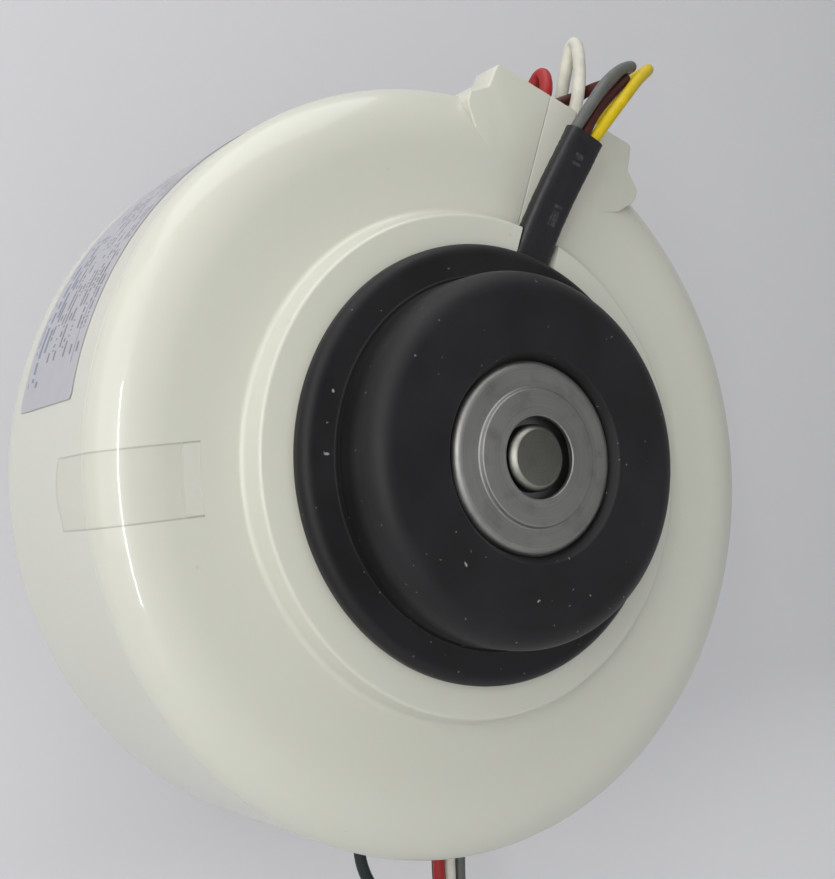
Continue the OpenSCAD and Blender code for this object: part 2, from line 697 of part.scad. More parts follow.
// A strip of clear tape that follows the cover's face, its shoulder and the casing's side.
module sealing_tape() {
    foot_z = -13.2;
    shift = 0.03;
    thick = 0.1;
    line = function (d) concat([[36.9, d]],
        arc(casing_r - shoulder_w, seam_z, shoulder_w + d, -seam_z + d, 90, 0, 15),
        [[casing_r + d, foot_z]]);
    outside = line(shift + thick);
    inside = line(shift);
    color("white", 0.4) intersection() {
        rotate_extrude() polygon(concat(outside, [for (i = [len(inside) - 1:-1:0]) inside[i]]));
        block(-casing_d, -1, -2.2, 6.2, -20, 5);
    }
}

// ---- the nodes ----

module bearing_at_sensor_end() {
    translate([0, 0, bearing_z]) children();
}

module bearing_at_drive_end() {
    at_drive_end() bearing_at_sensor_end() children();
}

in_place() {
    motor_casing();
    end_cover();
    lead_bush();
    bearing_cup();  // sensor_end_bearing_cup
    at_drive_end() bearing_cup();  // drive_end_bearing_cup
    mounting_ring();  // sensor_end_mounting_ring
    at_drive_end() mounting_ring();  // drive_end_mounting_ring
    stator_core();
    coil_bobbins();
    main_coils();
    auxiliary_coils();
    terminal_pins();
    sensor_board();
    board_components();
    hall_sensor();
    thermal_fuse();
    rotor_shaft();
    rotor_core();
    rotor_cage();
    sensor_magnet();
    retaining_ring();  // sensor_end_retaining_ring
    at_drive_end() retaining_ring();  // drive_end_retaining_ring
    preload_washer();
    bearing_at_sensor_end() bearing_outer_ring();  // sensor_end_bearing_outer_ring
    bearing_at_sensor_end() bearing_inner_ring();  // sensor_end_bearing_inner_ring
    bearing_at_sensor_end() bearing_balls();  // sensor_end_bearing_balls
    bearing_at_sensor_end() bearing_ball_cage();  // sensor_end_bearing_ball_cage
    bearing_at_sensor_end() bearing_shields();  // sensor_end_bearing_shields
    bearing_at_drive_end() bearing_outer_ring();  // drive_end_bearing_outer_ring
    bearing_at_drive_end() bearing_inner_ring();  // drive_end_bearing_inner_ring
    bearing_at_drive_end() bearing_balls();  // drive_end_bearing_balls
    bearing_at_drive_end() bearing_ball_cage();  // drive_end_bearing_ball_cage
    bearing_at_drive_end() bearing_shields();  // drive_end_bearing_shields
    sensor_sleeve();
    color("#202428") lead(0);  // black_lead
    color("firebrick") lead(1);  // red_lead
    color("white") lead(2);  // white_lead
    color("gray") lead(3);  // grey_lead
    color("#5a2e22") lead(4);  // brown_lead
    color("gold") lead(5);  // yellow_lead
    cable_tie();
    power_plug();
    plug_contacts(power_plug_x, power_pitch, 2, 13);  // power_plug_contacts
    sensor_plug();
    plug_contacts(sensor_plug_x, sensor_pitch, 1.4, 10);  // sensor_plug_contacts
    rating_label();
    sealing_tape();
}
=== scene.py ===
"""The looks of a resin-cased fan motor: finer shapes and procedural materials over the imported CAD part.

Most shapes are written in the motor's own frame, in millimetres: z along the shaft towards the sensor end,
z = 0 on the end cover's flat face, y up. new_object() turns them into the CAD part's frame, in metres.
"""

import json
import math
import random

import bmesh
import bpy
from mathutils import Matrix, Vector


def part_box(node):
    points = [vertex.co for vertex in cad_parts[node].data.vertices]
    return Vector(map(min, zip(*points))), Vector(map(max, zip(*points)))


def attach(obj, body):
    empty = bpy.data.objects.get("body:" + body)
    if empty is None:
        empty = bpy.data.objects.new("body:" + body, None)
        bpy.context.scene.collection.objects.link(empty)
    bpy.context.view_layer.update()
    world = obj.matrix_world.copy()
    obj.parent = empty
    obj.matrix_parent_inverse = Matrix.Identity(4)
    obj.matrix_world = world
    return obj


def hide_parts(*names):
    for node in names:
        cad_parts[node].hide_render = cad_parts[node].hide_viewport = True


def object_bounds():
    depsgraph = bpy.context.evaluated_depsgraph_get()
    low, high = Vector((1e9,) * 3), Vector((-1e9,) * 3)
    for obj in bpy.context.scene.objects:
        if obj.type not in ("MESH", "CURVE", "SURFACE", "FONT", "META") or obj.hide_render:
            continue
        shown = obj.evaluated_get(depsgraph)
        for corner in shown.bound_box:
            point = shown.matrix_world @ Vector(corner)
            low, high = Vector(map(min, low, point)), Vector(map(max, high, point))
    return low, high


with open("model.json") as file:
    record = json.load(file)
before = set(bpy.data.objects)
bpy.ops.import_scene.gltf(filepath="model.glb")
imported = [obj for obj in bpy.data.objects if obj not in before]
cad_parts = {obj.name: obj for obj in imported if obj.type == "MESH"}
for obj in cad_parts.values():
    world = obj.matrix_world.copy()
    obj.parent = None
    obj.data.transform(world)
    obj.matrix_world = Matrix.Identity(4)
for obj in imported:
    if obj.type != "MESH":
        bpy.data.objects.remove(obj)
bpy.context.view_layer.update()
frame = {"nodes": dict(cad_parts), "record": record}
random.seed(7)

# ---- sizes: the face and the shaft's tip are read from the CAD part, the rest are given ----

BOSS_H = 2.85
FACE_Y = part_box("end_cover")[0].y + BOSS_H / 1000
CASING_R = 48.6
CASING_L = 38.0
BOSS_R = 31.8
BOSS_TOP_R = 31.05
BORE_R = 11.63
FLANGE_R = 27.0
FLANGE_TOP = BOSS_H + 2.4
RING_R = 22.5
RING_CROWN = FLANGE_TOP + 7.85
CUP_R = 11.6
CUP_FACE = FLANGE_TOP + 7.45
CUP_STEP = CUP_FACE + 0.65
SHAFT_R = 4.0
SHAFT_TIP = -(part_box("rotor_shaft")[1].y - FACE_Y) * 1000
TO_CAD = Matrix(((0.001, 0, 0, 0), (0, 0, -0.001, FACE_Y), (0, 0.001, 0, 0), (0, 0, 0, 1)))
DRIVE_END = Matrix.Translation((0, 0, -CASING_L)) @ Matrix.Diagonal((1, 1, -1, 1))
OUTLET = Matrix.Rotation(math.radians(-25), 4, "Z")


# ---- mesh helpers ----

def lerp(a, b, t):
    return a + (b - a) * t


def as_mesh(bm, name="part"):
    mesh = bpy.data.meshes.new(name)
    bm.to_mesh(mesh)
    bm.free()
    return mesh


def linked(name, data):
    """A new object in the scene that holds a mesh, a light or a camera."""
    thing = bpy.data.objects.new(name, data)
    bpy.context.scene.collection.objects.link(thing)
    return thing


def new_object(name, bm, body, material, at=None, smooth=32, nodes=()):
    """Ends a bmesh as a piece of the object that rides on a CAD body."""
    bmesh.ops.remove_doubles(bm, verts=bm.verts, dist=1e-5)
    if at is not None:
        bm.transform(at)
        if at.determinant() < 0:
            bmesh.ops.reverse_faces(bm, faces=bm.faces)
    bm.transform(TO_CAD)
    mesh = as_mesh(bm, name)
    mesh.shade_smooth()
    mesh.set_sharp_from_angle(angle=math.radians(smooth))
    mesh.materials.append(material)
    piece = linked(name, mesh)
    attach(piece, body)
    if nodes:
        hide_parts(*nodes)
    return piece


def arc(cx, cy, rx, ry, start, end, steps):
    """Points on an ellipse between two angles in degrees."""
    out = []
    for i in range(steps + 1):
        a = math.radians(lerp(start, end, i / steps))
        out.append((cx + rx * math.cos(a), cy + ry * math.sin(a)))
    return out


def rounded(points, steps=5):
    """A closed outline with its corners rounded. Each point is (x, y) or (x, y, radius)."""
    out = []
    count = len(points)
    for i, p in enumerate(points):
        radius = p[2] if len(p) > 2 else 0
        here = Vector(p[:2])
        if radius <= 0:
            out.append(tuple(here))
            continue
        before = (Vector(points[i - 1][:2]) - here).normalized()
        after = (Vector(points[(i + 1) % count][:2]) - here).normalized()
        half = before.angle(after) / 2
        reach = radius / math.tan(half)
        centre = here + (before + after).normalized() * (radius / math.sin(half))
        a = here + before * reach - centre
        b = here + after * reach - centre
        turn = a.angle_signed(b)
        for k in range(steps + 1):
            t = -turn * k / steps
            out.append((centre.x + a.x * math.cos(t) - a.y * math.sin(t),
                        centre.y + a.x * math.sin(t) + a.y * math.cos(t)))
    return out


def outward(bm):
    """Turns every face of a closed shape outwards."""
    bmesh.ops.recalc_face_normals(bm, faces=bm.faces)
    if bm.calc_volume(signed=True) < 0:
        bmesh.ops.reverse_faces(bm, faces=bm.faces)
    return bm


def revolve(profile, steps=256):
    """A closed (radius, z) outline turned round the shaft's axis."""
    bm = bmesh.new()
    rings = []
    for i in range(steps):
        a = 2 * math.pi * i / steps
        rings.append([bm.verts.new((r * math.cos(a), r * math.sin(a), z)) for r, z in profile])
    count = len(profile)
    for i in range(steps):
        here, there = rings[i], rings[(i + 1) % steps]
        for k in range(count):
            m = (k + 1) % count
            if profile[k][0] < 1e-6 and profile[m][0] < 1e-6:
                continue
            bm.faces.new((here[k], here[m], there[m], there[k]))
    bmesh.ops.remove_doubles(bm, verts=bm.verts, dist=1e-5)
    bmesh.ops.dissolve_degenerate(bm, edges=bm.edges, dist=1e-6)
    return outward(bm)


def prism(outline, z0, z1, bevel=0.0, upright=0.0, segments=3):
    """A straight block over an outline, with rounded top and bottom edges and rounded upright edges."""
    bm = bmesh.new()
    low = [bm.verts.new((x, y, z0)) for x, y in outline]
    high = [bm.verts.new((x, y, z1)) for x, y in outline]
    count = len(outline)
    bm.faces.new(list(reversed(low)))
    bm.faces.new(high)
    for i in range(count):
        j = (i + 1) % count
        bm.faces.new((low[i], low[j], high[j], high[i]))
    outward(bm)
    if upright:
        edges = [e for e in bm.edges if abs(e.verts[0].co.z - e.verts[1].co.z) > 1e-4]
        bmesh.ops.bevel(bm, geom=edges, offset=upright, segments=segments, affect="EDGES", profile=0.5)
    if bevel:
        edges = [e for e in bm.edges if abs(e.verts[0].co.z - e.verts[1].co.z) < 1e-4
                 and e.calc_face_angle(0) > 0.6]
        bmesh.ops.bevel(bm, geom=edges, offset=bevel, segments=segments, affect="EDGES", profile=0.5)
    return bm


def box(x0, x1, y0, y1, z0, z1, bevel=0.0, upright=0.0, segments=3):
    return prism([(x0, y0), (x1, y0), (x1, y1), (x0, y1)], z0, z1, bevel, upright, segments)


def rod(radius, start, end, steps=32):
    """A plain round bar between two points."""
    bm = bmesh.new()
    axis = Vector(end) - Vector(start)
    turn = axis.to_track_quat("Z", "Y").to_matrix().to_4x4()
    at = Matrix.Translation((Vector(start) + Vector(end)) / 2) @ turn
    bmesh.ops.create_cone(bm, cap_ends=True, segments=steps, radius1=radius, radius2=radius,
                          depth=axis.length, matrix=at)
    return bm


def carve(base, steps):
    """Joins shapes to a bmesh or cuts them from it, and returns the result as a bmesh."""
    target = linked("carve_base", as_mesh(base))
    helpers = []
    for way, shape in steps:
        helper = linked("carve_tool", as_mesh(shape))
        helpers.append(helper)
        modifier = target.modifiers.new("carve", "BOOLEAN")
        modifier.operation = way
        modifier.solver = "EXACT"
        modifier.object = helper
    graph = bpy.context.evaluated_depsgraph_get()
    mesh = bpy.data.meshes.new_from_object(target.evaluated_get(graph))
    out = bmesh.new()
    out.from_mesh(mesh)
    for o in [target] + helpers:
        old = o.data
        bpy.data.objects.remove(o)
        bpy.data.meshes.remove(old)
    bpy.data.meshes.remove(mesh)
    return out


def merged(shapes):
    """Several closed shapes in one bmesh."""
    out = bmesh.new()
    for shape in shapes:
        mesh = as_mesh(shape)
        out.from_mesh(mesh)
        bpy.data.meshes.remove(mesh)
    return out


def moved(bm, matrix):
    bm.transform(matrix)
    return bm


def outlet_box(*sizes):
    """A box given across and outwards at the lead outlet."""
    return moved(box(*sizes), OUTLET)


def film(grid):
    """One layer of faces over a grid of (place, u, v), with u and v as its UV map."""
    bm = bmesh.new()
    layer = bm.loops.layers.uv.new("UVMap")
    rows = [[(bm.verts.new(place), u, v) for place, u, v in row] for row in grid]
    for here, there in zip(rows, rows[1:]):
        for k in range(len(here) - 1):
            corners = (here[k], there[k], there[k + 1], here[k + 1])
            face = bm.faces.new([c[0] for c in corners])
            for loop, c in zip(face.loops, corners):
                loop[layer].uv = c[1:]
    return outward(bm)


def spline(points, steps):
    """A smooth curve through the points."""
    p = [Vector(q) for q in points]
    last = len(p) - 1
    out = []
    for i in range(last):
        a, b, c, d = p[max(i - 1, 0)], p[i], p[i + 1], p[min(i + 2, last)]
        for s in range(steps):
            u = s / steps
            out.append(0.5 * (2 * b + (c - a) * u + (2 * a - 5 * b + 4 * c - d) * u * u
                              + (3 * b - a - 3 * c + d) * u ** 3))
    out.append(p[last])
    return out


def relaxed(path, rounds):
    """Evens out small kinks in a curve, except at its ends."""
    keep = 3
    for _ in range(rounds):
        path = [p if i < keep or i >= len(path) - keep else 0.5 * p + 0.25 * (path[i - 1] + path[i + 1])
                for i, p in enumerate(path)]
    return path


def frames(path, side):
    """For each point of a curve: its direction and an untwisted side direction."""
    out = []
    side = Vector(side)
    for i, p in enumerate(path):
        along = (path[min(i + 1, len(path) - 1)] - path[max(i - 1, 0)]).normalized()
        side = (side - side.dot(along) * along).normalized()
        out.append((p, along, side.copy()))
    return out


def loft(path, side, outline, inner=None):
    """Sweeps outline(i, share) along a curve. With inner, the tube is hollow and open at both ends."""
    bm = bmesh.new()
    stations = frames(path, side)
    last = len(stations) - 1

    def skin(shape):
        rings = []
        for i, (p, along, s) in enumerate(stations):
            up = along.cross(s)
            rings.append([bm.verts.new(p + x * s + y * up) for x, y in shape(i, i / last)])
        for i in range(last):
            a, b = rings[i], rings[i + 1]
            for k in range(len(a)):
                m = (k + 1) % len(a)
                bm.faces.new((a[k], a[m], b[m], b[k]))
        return rings

    rings = skin(outline)
    if inner:
        hollow = skin(inner)
        for a, b in ((rings[0], hollow[0]), (rings[-1], hollow[-1])):
            for k in range(len(a)):
                m = (k + 1) % len(a)
                bm.faces.new((a[k], a[m], b[m], b[k]))
    else:
        bm.faces.new(list(reversed(rings[0])))
        bm.faces.new(rings[-1])
    return outward(bm)


def circle(radius, count=16):
    return [(radius * math.cos(2 * math.pi * k / count), radius * math.sin(2 * math.pi * k / count))
            for k in range(count)]


def outlet(x, y, z):
    """A point given across and outwards at the lead outlet."""
    return tuple(OUTLET @ Vector((x, y, z)))


def around(r, angle, z):
    """A point given by its distance from the shaft's axis and its angle in degrees."""
    a = math.radians(angle)
    return (r * math.cos(a), r * math.sin(a), z)


# ---- materials ----

class Shader:
    """Builds one material's node tree."""

    def __init__(self, name):
        self.material = bpy.data.materials.new(name)
        self.material.use_nodes = True
        self.tree = self.material.node_tree
        self.tree.nodes.clear()
        self.coordinates = self.add("ShaderNodeTexCoord").outputs["Object"]

    def add(self, kind, inputs=None, **settings):
        node = self.tree.nodes.new(kind)
        for key, value in settings.items():
            setattr(node, key, value)
        for key, value in (inputs or {}).items():
            socket = node.inputs[key]
            if isinstance(value, bpy.types.NodeSocket):
                self.tree.links.new(value, socket)
            else:
                socket.default_value = value
        return node

    def math(self, operation, a, b=0.0):
        return self.add("ShaderNodeMath", {0: a, 1: b}, operation=operation).outputs[0]

    def noise(self, scale, detail=3.0, where=None, roughness=0.5):
        return self.add("ShaderNodeTexNoise", {"Vector": where or self.coordinates, "Scale": scale,
                                               "Detail": detail, "Roughness": roughness}).outputs["Fac"]

    def span(self, value, low, high, out_low=0.0, out_high=1.0):
        return self.add("ShaderNodeMapRange", {0: value, 1: low, 2: high, 3: out_low, 4: out_high},
                        clamp=True).outputs[0]

    def mix(self, share, a, b):
        node = self.add("ShaderNodeMix", data_type="RGBA")
        for index, value in ((0, share), (6, a), (7, b)):
            if isinstance(value, bpy.types.NodeSocket):
                self.tree.links.new(value, node.inputs[index])
            elif index == 0:
                node.inputs[0].default_value = value
            else:
                node.inputs[index].default_value = (*value, 1.0)
        return node.outputs[2]

    def split(self, vector):
        return self.add("ShaderNodeSeparateXYZ", {0: vector}).outputs

    def join(self, x, y, z):
        return self.add("ShaderNodeCombineXYZ", {0: x, 1: y, 2: z}).outputs[0]

    def specks(self, scale, share, where=None):
        """1 in small scattered spots, 0 elsewhere."""
        cells = self.add("ShaderNodeTexVoronoi", {"Vector": where or self.coordinates, "Scale": scale})
        spot = self.span(cells.outputs["Distance"], 0.10, 0.16, 1.0, 0.0)
        chosen = self.math("LESS_THAN", self.split(cells.outputs["Color"])[0], share)
        return self.product(spot, chosen)

    def product(self, first, *others):
        for other in others:
            first = self.math("MULTIPLY", first, other)
        return first

    def axes(self):
        """The object's x, y and z, and the distance from the shaft's axis."""
        x, y, z = self.split(self.coordinates)[0:3]
        return x, y, z, self.math("SQRT", self.math("ADD", self.product(x, x), self.product(z, z)))

    def rounding(self, radius):
        """Softened edges, as a normal."""
        return self.add("ShaderNodeBevel", {"Radius": radius}, samples=4).outputs[0]

    def bump(self, height, strength=0.3, distance=0.0001, normal=None):
        inputs = {"Height": height, "Strength": strength, "Distance": distance}
        if normal is not None:
            inputs["Normal"] = normal
        return self.add("ShaderNodeBump", inputs).outputs[0]

    def blend(self, share, first, second):
        """Ends the material as a mix of two surfaces."""
        mixed = self.add("ShaderNodeMixShader", {0: share, 1: first, 2: second}).outputs[0]
        self.add("ShaderNodeOutputMaterial", {"Surface": mixed})
        return self.material

    def done(self, color, roughness, metallic=0.0, normal=None, **extra):
        """Ends the material as one plastic or metal surface."""
        inputs = {"Roughness": roughness, "Metallic": metallic}
        if isinstance(color, bpy.types.NodeSocket):
            inputs["Base Color"] = color
        else:
            inputs["Base Color"] = (*color, 1.0)
        if normal is not None:
            inputs["Normal"] = normal
        inputs.update(extra)
        surface = self.add("ShaderNodeBsdfPrincipled", inputs)
        self.add("ShaderNodeOutputMaterial", {"Surface": surface.outputs[0]})
        return self.material


def shade(color, factor):
    return tuple(min(1.0, c * factor) for c in color)


def plastic(name, color, rough=0.42, mottle=0.06, grain=2500.0, relief=0.05, **extra):
    """Moulded plastic: faint cloudy colour, uneven gloss and a fine skin texture."""
    s = Shader(name)
    cloud = s.noise(90.0, 4.0)
    tone = s.mix(s.span(cloud, 0.3, 0.7), shade(color, 1 - mottle), shade(color, 1 + mottle / 2))
    gloss = s.span(s.noise(240.0, 3.0), 0.3, 0.7, rough - 0.05, rough + 0.07)
    normal = s.bump(s.noise(grain, 2.0), relief, 0.00005, s.rounding(0.0002))
    return s.done(tone, gloss, normal=normal, **extra)


def metal(name, color, rough=0.35, along=(1.0, 60.0, 1.0), mottle=0.12, relief=0.08):
    """Ground or drawn metal with fine lines along one axis."""
    s = Shader(name)
    stretched = s.add("ShaderNodeMapping", {"Vector": s.coordinates, "Scale": along}).outputs[0]
    lines = s.noise(260.0, 4.0, stretched)
    cloud = s.noise(120.0, 4.0)
    tone = s.mix(s.span(lines, 0.3, 0.7), shade(color, 1 - mottle), shade(color, 1 + mottle))
    gloss = s.span(cloud, 0.3, 0.7, rough - 0.06, rough + 0.1)
    return s.done(tone, gloss, 1.0, s.bump(lines, relief, 0.00003, s.rounding(0.00015)))


def turned(name, color, rough, pitch, relief, mottle=0.12, stain=0.0, chamfer_highlight=0.0):
    """Metal turned on a lathe: fine rings round the shaft's axis, and chamfers painted brighter as a painted
    highlight.
    """
    s = Shader(name)
    y, radius = s.axes()[1::2]
    rings = s.noise(1.0, 5.0, s.join(s.product(radius, pitch), s.product(y, pitch), 0.0), 0.7)
    cloud = s.noise(160.0, 5.0)
    tone = s.mix(s.span(rings, 0.3, 0.7), shade(color, 1 - mottle), shade(color, 1 + mottle))
    if stain:
        tone = s.mix(s.span(s.noise(420.0, 5.0), 0.52, 0.72, 0.0, stain), tone, shade(color, 0.35))
    if chamfer_highlight:
        # Painted highlight: faces sloped like a chamfer are painted brighter.
        facing = s.add("ShaderNodeTexCoord").outputs["Normal"]
        slope = s.math("ABSOLUTE", s.split(facing)[1])
        cut = s.product(s.span(slope, 0.55, 0.65), s.span(slope, 0.8, 0.9, 1.0, 0.0))
        tone = s.mix(cut, tone, shade(color, chamfer_highlight))
    gloss = s.span(cloud, 0.3, 0.7, rough - 0.07, rough + 0.1)
    return s.done(tone, gloss, 1.0, s.bump(rings, relief, 0.00003, s.rounding(0.00012)))


def resin():
    """The casing: warm ivory with a soft shine, faint flow clouds and a few dust specks."""
    s = Shader("ivory_resin")
    color = (0.535, 0.536, 0.459)
    cloud = s.noise(24.0, 3.0)
    tone = s.mix(cloud, shade(color, 0.965), shade(color, 1.03))
    tone = s.mix(s.product(s.specks(520.0, 0.03), 0.18), tone, (0.30, 0.27, 0.20))
    gloss = s.span(s.noise(70.0, 2.0), 0.0, 1.0, 0.26, 0.33)
    peel = s.bump(s.noise(300.0, 2.0), 0.03, 0.00006)
    return s.done(tone, gloss, normal=peel, **{
        "Specular IOR Level": 0.4, "Coat Weight": 0.45, "Coat Roughness": 0.035, "Coat Normal": peel,
        "Subsurface Weight": 0.08, "Subsurface Radius": (0.0016, 0.0013, 0.0008)})


def rubber():
    """The mounting rings: matt black with a grey bloom, lint and dust, and painted shade that darkens the
    side just above the flange.
    """
    s = Shader("ring_rubber")
    bloom = s.noise(150.0, 5.0)
    fine = s.noise(1500.0, 3.0)
    tone = s.mix(s.span(bloom, 0.35, 0.7), (0.0022, 0.0022, 0.0030), (0.0064, 0.0064, 0.0076))
    wander = s.add("ShaderNodeTexNoise", {"Vector": s.coordinates, "Scale": 900.0, "Detail": 2.0})
    wander = s.add("ShaderNodeVectorMath", {0: wander.outputs["Color"], "Scale": 0.0012}, operation="SCALE")
    drift = s.add("ShaderNodeVectorMath", {0: s.coordinates, 1: wander.outputs[0]},
                  operation="ADD").outputs[0]
    tone = s.mix(s.product(s.specks(1150.0, 0.10, drift), 0.22), tone, (0.50, 0.50, 0.50))
    tone = s.mix(s.product(s.specks(520.0, 0.03, drift), 0.45), tone, (0.60, 0.60, 0.58))
    # Painted shade: a band on the ring's side just above the flange is painted darker and given less shine.
    from_middle = s.math("ABSOLUTE", s.math("SUBTRACT", s.axes()[1], FACE_Y + CASING_L / 2000))
    painted_shade_band = s.product(s.span(from_middle, 0.0243, 0.0245), s.span(from_middle, 0.0268, 0.0285, 1.0, 0.0))
    tone = s.mix(s.product(painted_shade_band, 0.6), tone, (0.0015, 0.0015, 0.0018))
    gloss = s.span(bloom, 0.3, 0.7, 0.50, 0.64)
    return s.done(tone, gloss, normal=s.bump(fine, 0.12, 0.00006, s.rounding(0.0002)), **{
        "Specular IOR Level": s.span(painted_shade_band, 0.0, 1.0, 0.33, 0.14), "Sheen Weight": 0.04,
        "Sheen Roughness": 0.5})


def insulation(name, color):
    """Lead insulation: smooth extruded plastic with handling marks."""
    s = Shader(name)
    cloud = s.noise(420.0, 4.0)
    tone = s.mix(s.span(cloud, 0.35, 0.7), shade(color, 0.86), shade(color, 1.06))
    gloss = s.span(s.noise(900.0, 3.0), 0.3, 0.7, 0.36, 0.52)
    return s.done(tone, gloss, normal=s.bump(cloud, 0.06, 0.00005), **{
        "Subsurface Weight": 0.05, "Subsurface Radius": (0.0006, 0.0005, 0.0004), "Specular IOR Level": 0.3})


def shrink_sleeve():
    """Shrunk sleeve: satin black with lengthwise creases and worn grey marks too short to read."""
    s = Shader("shrink_sleeve")
    turn = s.add("ShaderNodeMapping", {
        "Vector": s.coordinates, "Rotation": (0.0, math.radians(-25), 0.0)}).outputs[0]
    x, y, z = s.split(turn)[0:3]
    creases = s.noise(1.0, 4.0, s.join(s.product(x, 1400.0), s.product(y, 300.0), s.product(z, 130.0)))
    stroke = s.add("ShaderNodeTexWhiteNoise", {"W": s.math("FLOOR", s.product(z, 2600.0))},
                   noise_dimensions="1D").outputs["Value"]
    group = s.math("LESS_THAN", s.math("FRACT", s.product(z, 125.0)), 0.42)
    tall = s.span(stroke, 0.0, 1.0, 0.0003, 0.0007)
    row = s.math("LESS_THAN", s.math("ABSOLUTE", x), tall)
    marks = s.product(row, group, s.math("GREATER_THAN", stroke, 0.5))
    worn = s.product(marks, s.span(s.noise(2600.0, 3.0), 0.4, 0.6, 0.04, 0.17))
    tone = s.mix(s.span(creases, 0.35, 0.65), (0.0018, 0.0019, 0.0027), (0.0042, 0.0045, 0.0057))
    tone = s.mix(worn, tone, (0.20, 0.21, 0.22))
    gloss = s.span(creases, 0.3, 0.7, 0.30, 0.44)
    return s.done(tone, gloss, normal=s.bump(creases, 0.25, 0.00012))


def printed_label():
    """Silvery film with short bars in place of print: dark ones in rows, bluish ones along the rear edge."""
    s = Shader("printed_label")
    u, v = s.split(s.add("ShaderNodeUVMap").outputs[0])[0:2]

    def between(value, low, high):
        return s.product(s.math("GREATER_THAN", value, low), s.math("LESS_THAN", value, high))

    def chance(across, along, seed):
        cell = s.join(s.math("FLOOR", across), s.math("FLOOR", along), seed)
        return s.add("ShaderNodeTexWhiteNoise", {"Vector": cell}, noise_dimensions="3D").outputs["Value"]

    def rows(count, marks, share, seed):
        line = s.product(v, count)
        inside = s.math("LESS_THAN", s.math("ABSOLUTE", s.math("SUBTRACT", s.math("FRACT", line), 0.5)), 0.25)
        stroke = s.math("LESS_THAN", chance(s.product(u, marks), line, seed), 0.72)
        word = s.math("LESS_THAN", chance(s.product(u, marks / 7), line, seed + 5), share)
        return s.product(inside, stroke, word)

    base = s.mix(s.noise(60.0, 3.0), (0.385, 0.385, 0.415), (0.43, 0.43, 0.455))
    small = s.product(rows(16.0, 230.0, 0.55, 1.0), between(u, 0.10, 0.95), between(v, 0.26, 0.94))
    large = s.product(rows(11.0, 110.0, 0.75, 2.0), between(u, 0.05, 0.42), between(v, 0.05, 0.26))
    rule = s.product(between(v, 0.845, 0.858), between(u, 0.08, 0.34))
    tone = s.mix(s.product(small, 0.75), base, (0.055, 0.055, 0.08))
    tone = s.mix(s.product(large, 0.7), tone, (0.05, 0.085, 0.19))
    tone = s.mix(s.product(rule, 0.75), tone, (0.07, 0.07, 0.10))
    gloss = s.span(s.noise(300.0, 3.0), 0.3, 0.7, 0.28, 0.38)
    return s.done(tone, gloss, 0.2, s.bump(s.noise(220.0, 3.0), 0.10, 0.00008))


def clear_film():
    """Clear tape: nearly invisible, with a soft shine, grey long edges and a paler front end."""
    s = Shader("clear_film")
    u, v = s.split(s.add("ShaderNodeUVMap").outputs[0])[0:2]
    edge_v = s.span(s.math("MINIMUM", v, s.math("SUBTRACT", 1.0, v)), 0.018, 0.034, 1.0, 0.0)
    edge_u = s.span(s.math("SUBTRACT", 1.0, u), 0.006, 0.014, 1.0, 0.0)
    pale = s.span(u, 0.07, 0.09, 1.0, 0.0)
    edge = s.math("MAXIMUM", edge_v, edge_u)
    waves = s.noise(200.0, 3.0)
    tone = s.mix(pale, (0.62, 0.61, 0.52), (0.78, 0.77, 0.70))
    film = s.add("ShaderNodeBsdfPrincipled", {
        "Base Color": s.mix(edge, tone, (0.34, 0.33, 0.28)), "Roughness": 0.10,
        "Normal": s.bump(waves, 0.10, 0.0002)}).outputs[0]
    clear = s.add("ShaderNodeBsdfTransparent", {"Color": (0.998, 0.998, 0.998, 1.0)}).outputs[0]
    share = s.math("MAXIMUM", s.product(edge, 0.30), s.product(pale, 0.42))
    share = s.math("MAXIMUM", share, s.span(waves, 0.3, 0.7, 0.05, 0.08))
    return s.blend(share, clear, film)


def laminations():
    """Stacked sheet steel: fine edges along the shaft, darker varnish between them."""
    s = Shader("laminations")
    sheets = s.math("FRACT", s.product(s.axes()[1], 2000.0))
    groove = s.span(s.math("ABSOLUTE", s.math("SUBTRACT", sheets, 0.5)), 0.36, 0.5)
    tone = s.mix(s.noise(300.0, 4.0), (0.16, 0.17, 0.19), (0.26, 0.27, 0.29))
    tone = s.mix(s.product(groove, 0.6), tone, (0.05, 0.045, 0.04))
    return s.done(tone, s.span(s.noise(500.0, 3.0), 0.3, 0.7, 0.38, 0.55), 0.85,
                  s.bump(s.math("SUBTRACT", 1.0, groove), 0.3, 0.00008))


def winding(name, color):
    """Enamelled wire: turns round each coil, seen as fine lines."""
    s = Shader(name)
    y, radius = s.axes()[1::2]
    turns = s.math("SINE", s.product(s.math("ADD", radius, s.product(y, 0.02)), 14000.0))
    tone = s.mix(s.span(turns, -1.0, 1.0), shade(color, 0.45), shade(color, 1.1))
    return s.done(tone, s.span(s.noise(700.0, 3.0), 0.3, 0.7, 0.22, 0.34), 0.75, s.bump(turns, 0.5, 0.00012))


def board():
    """Printed board: green mask with raised tracks and bright pads."""
    s = Shader("board_laminate")
    cells = s.add("ShaderNodeTexVoronoi", {"Vector": s.coordinates, "Scale": 260.0}, distance="MANHATTAN")
    track = s.span(cells.outputs["Distance"], 0.30, 0.34, 0.0, 1.0)
    tone = s.mix(track, (0.012, 0.085, 0.035), (0.025, 0.15, 0.06))
    pads = s.specks(420.0, 0.16)
    tone = s.mix(pads, tone, (0.62, 0.60, 0.52))
    return s.done(tone, s.span(s.noise(500.0, 2.0), 0.3, 0.7, 0.26, 0.38), s.product(pads, 0.8),
                  s.bump(track, 0.3, 0.00006))


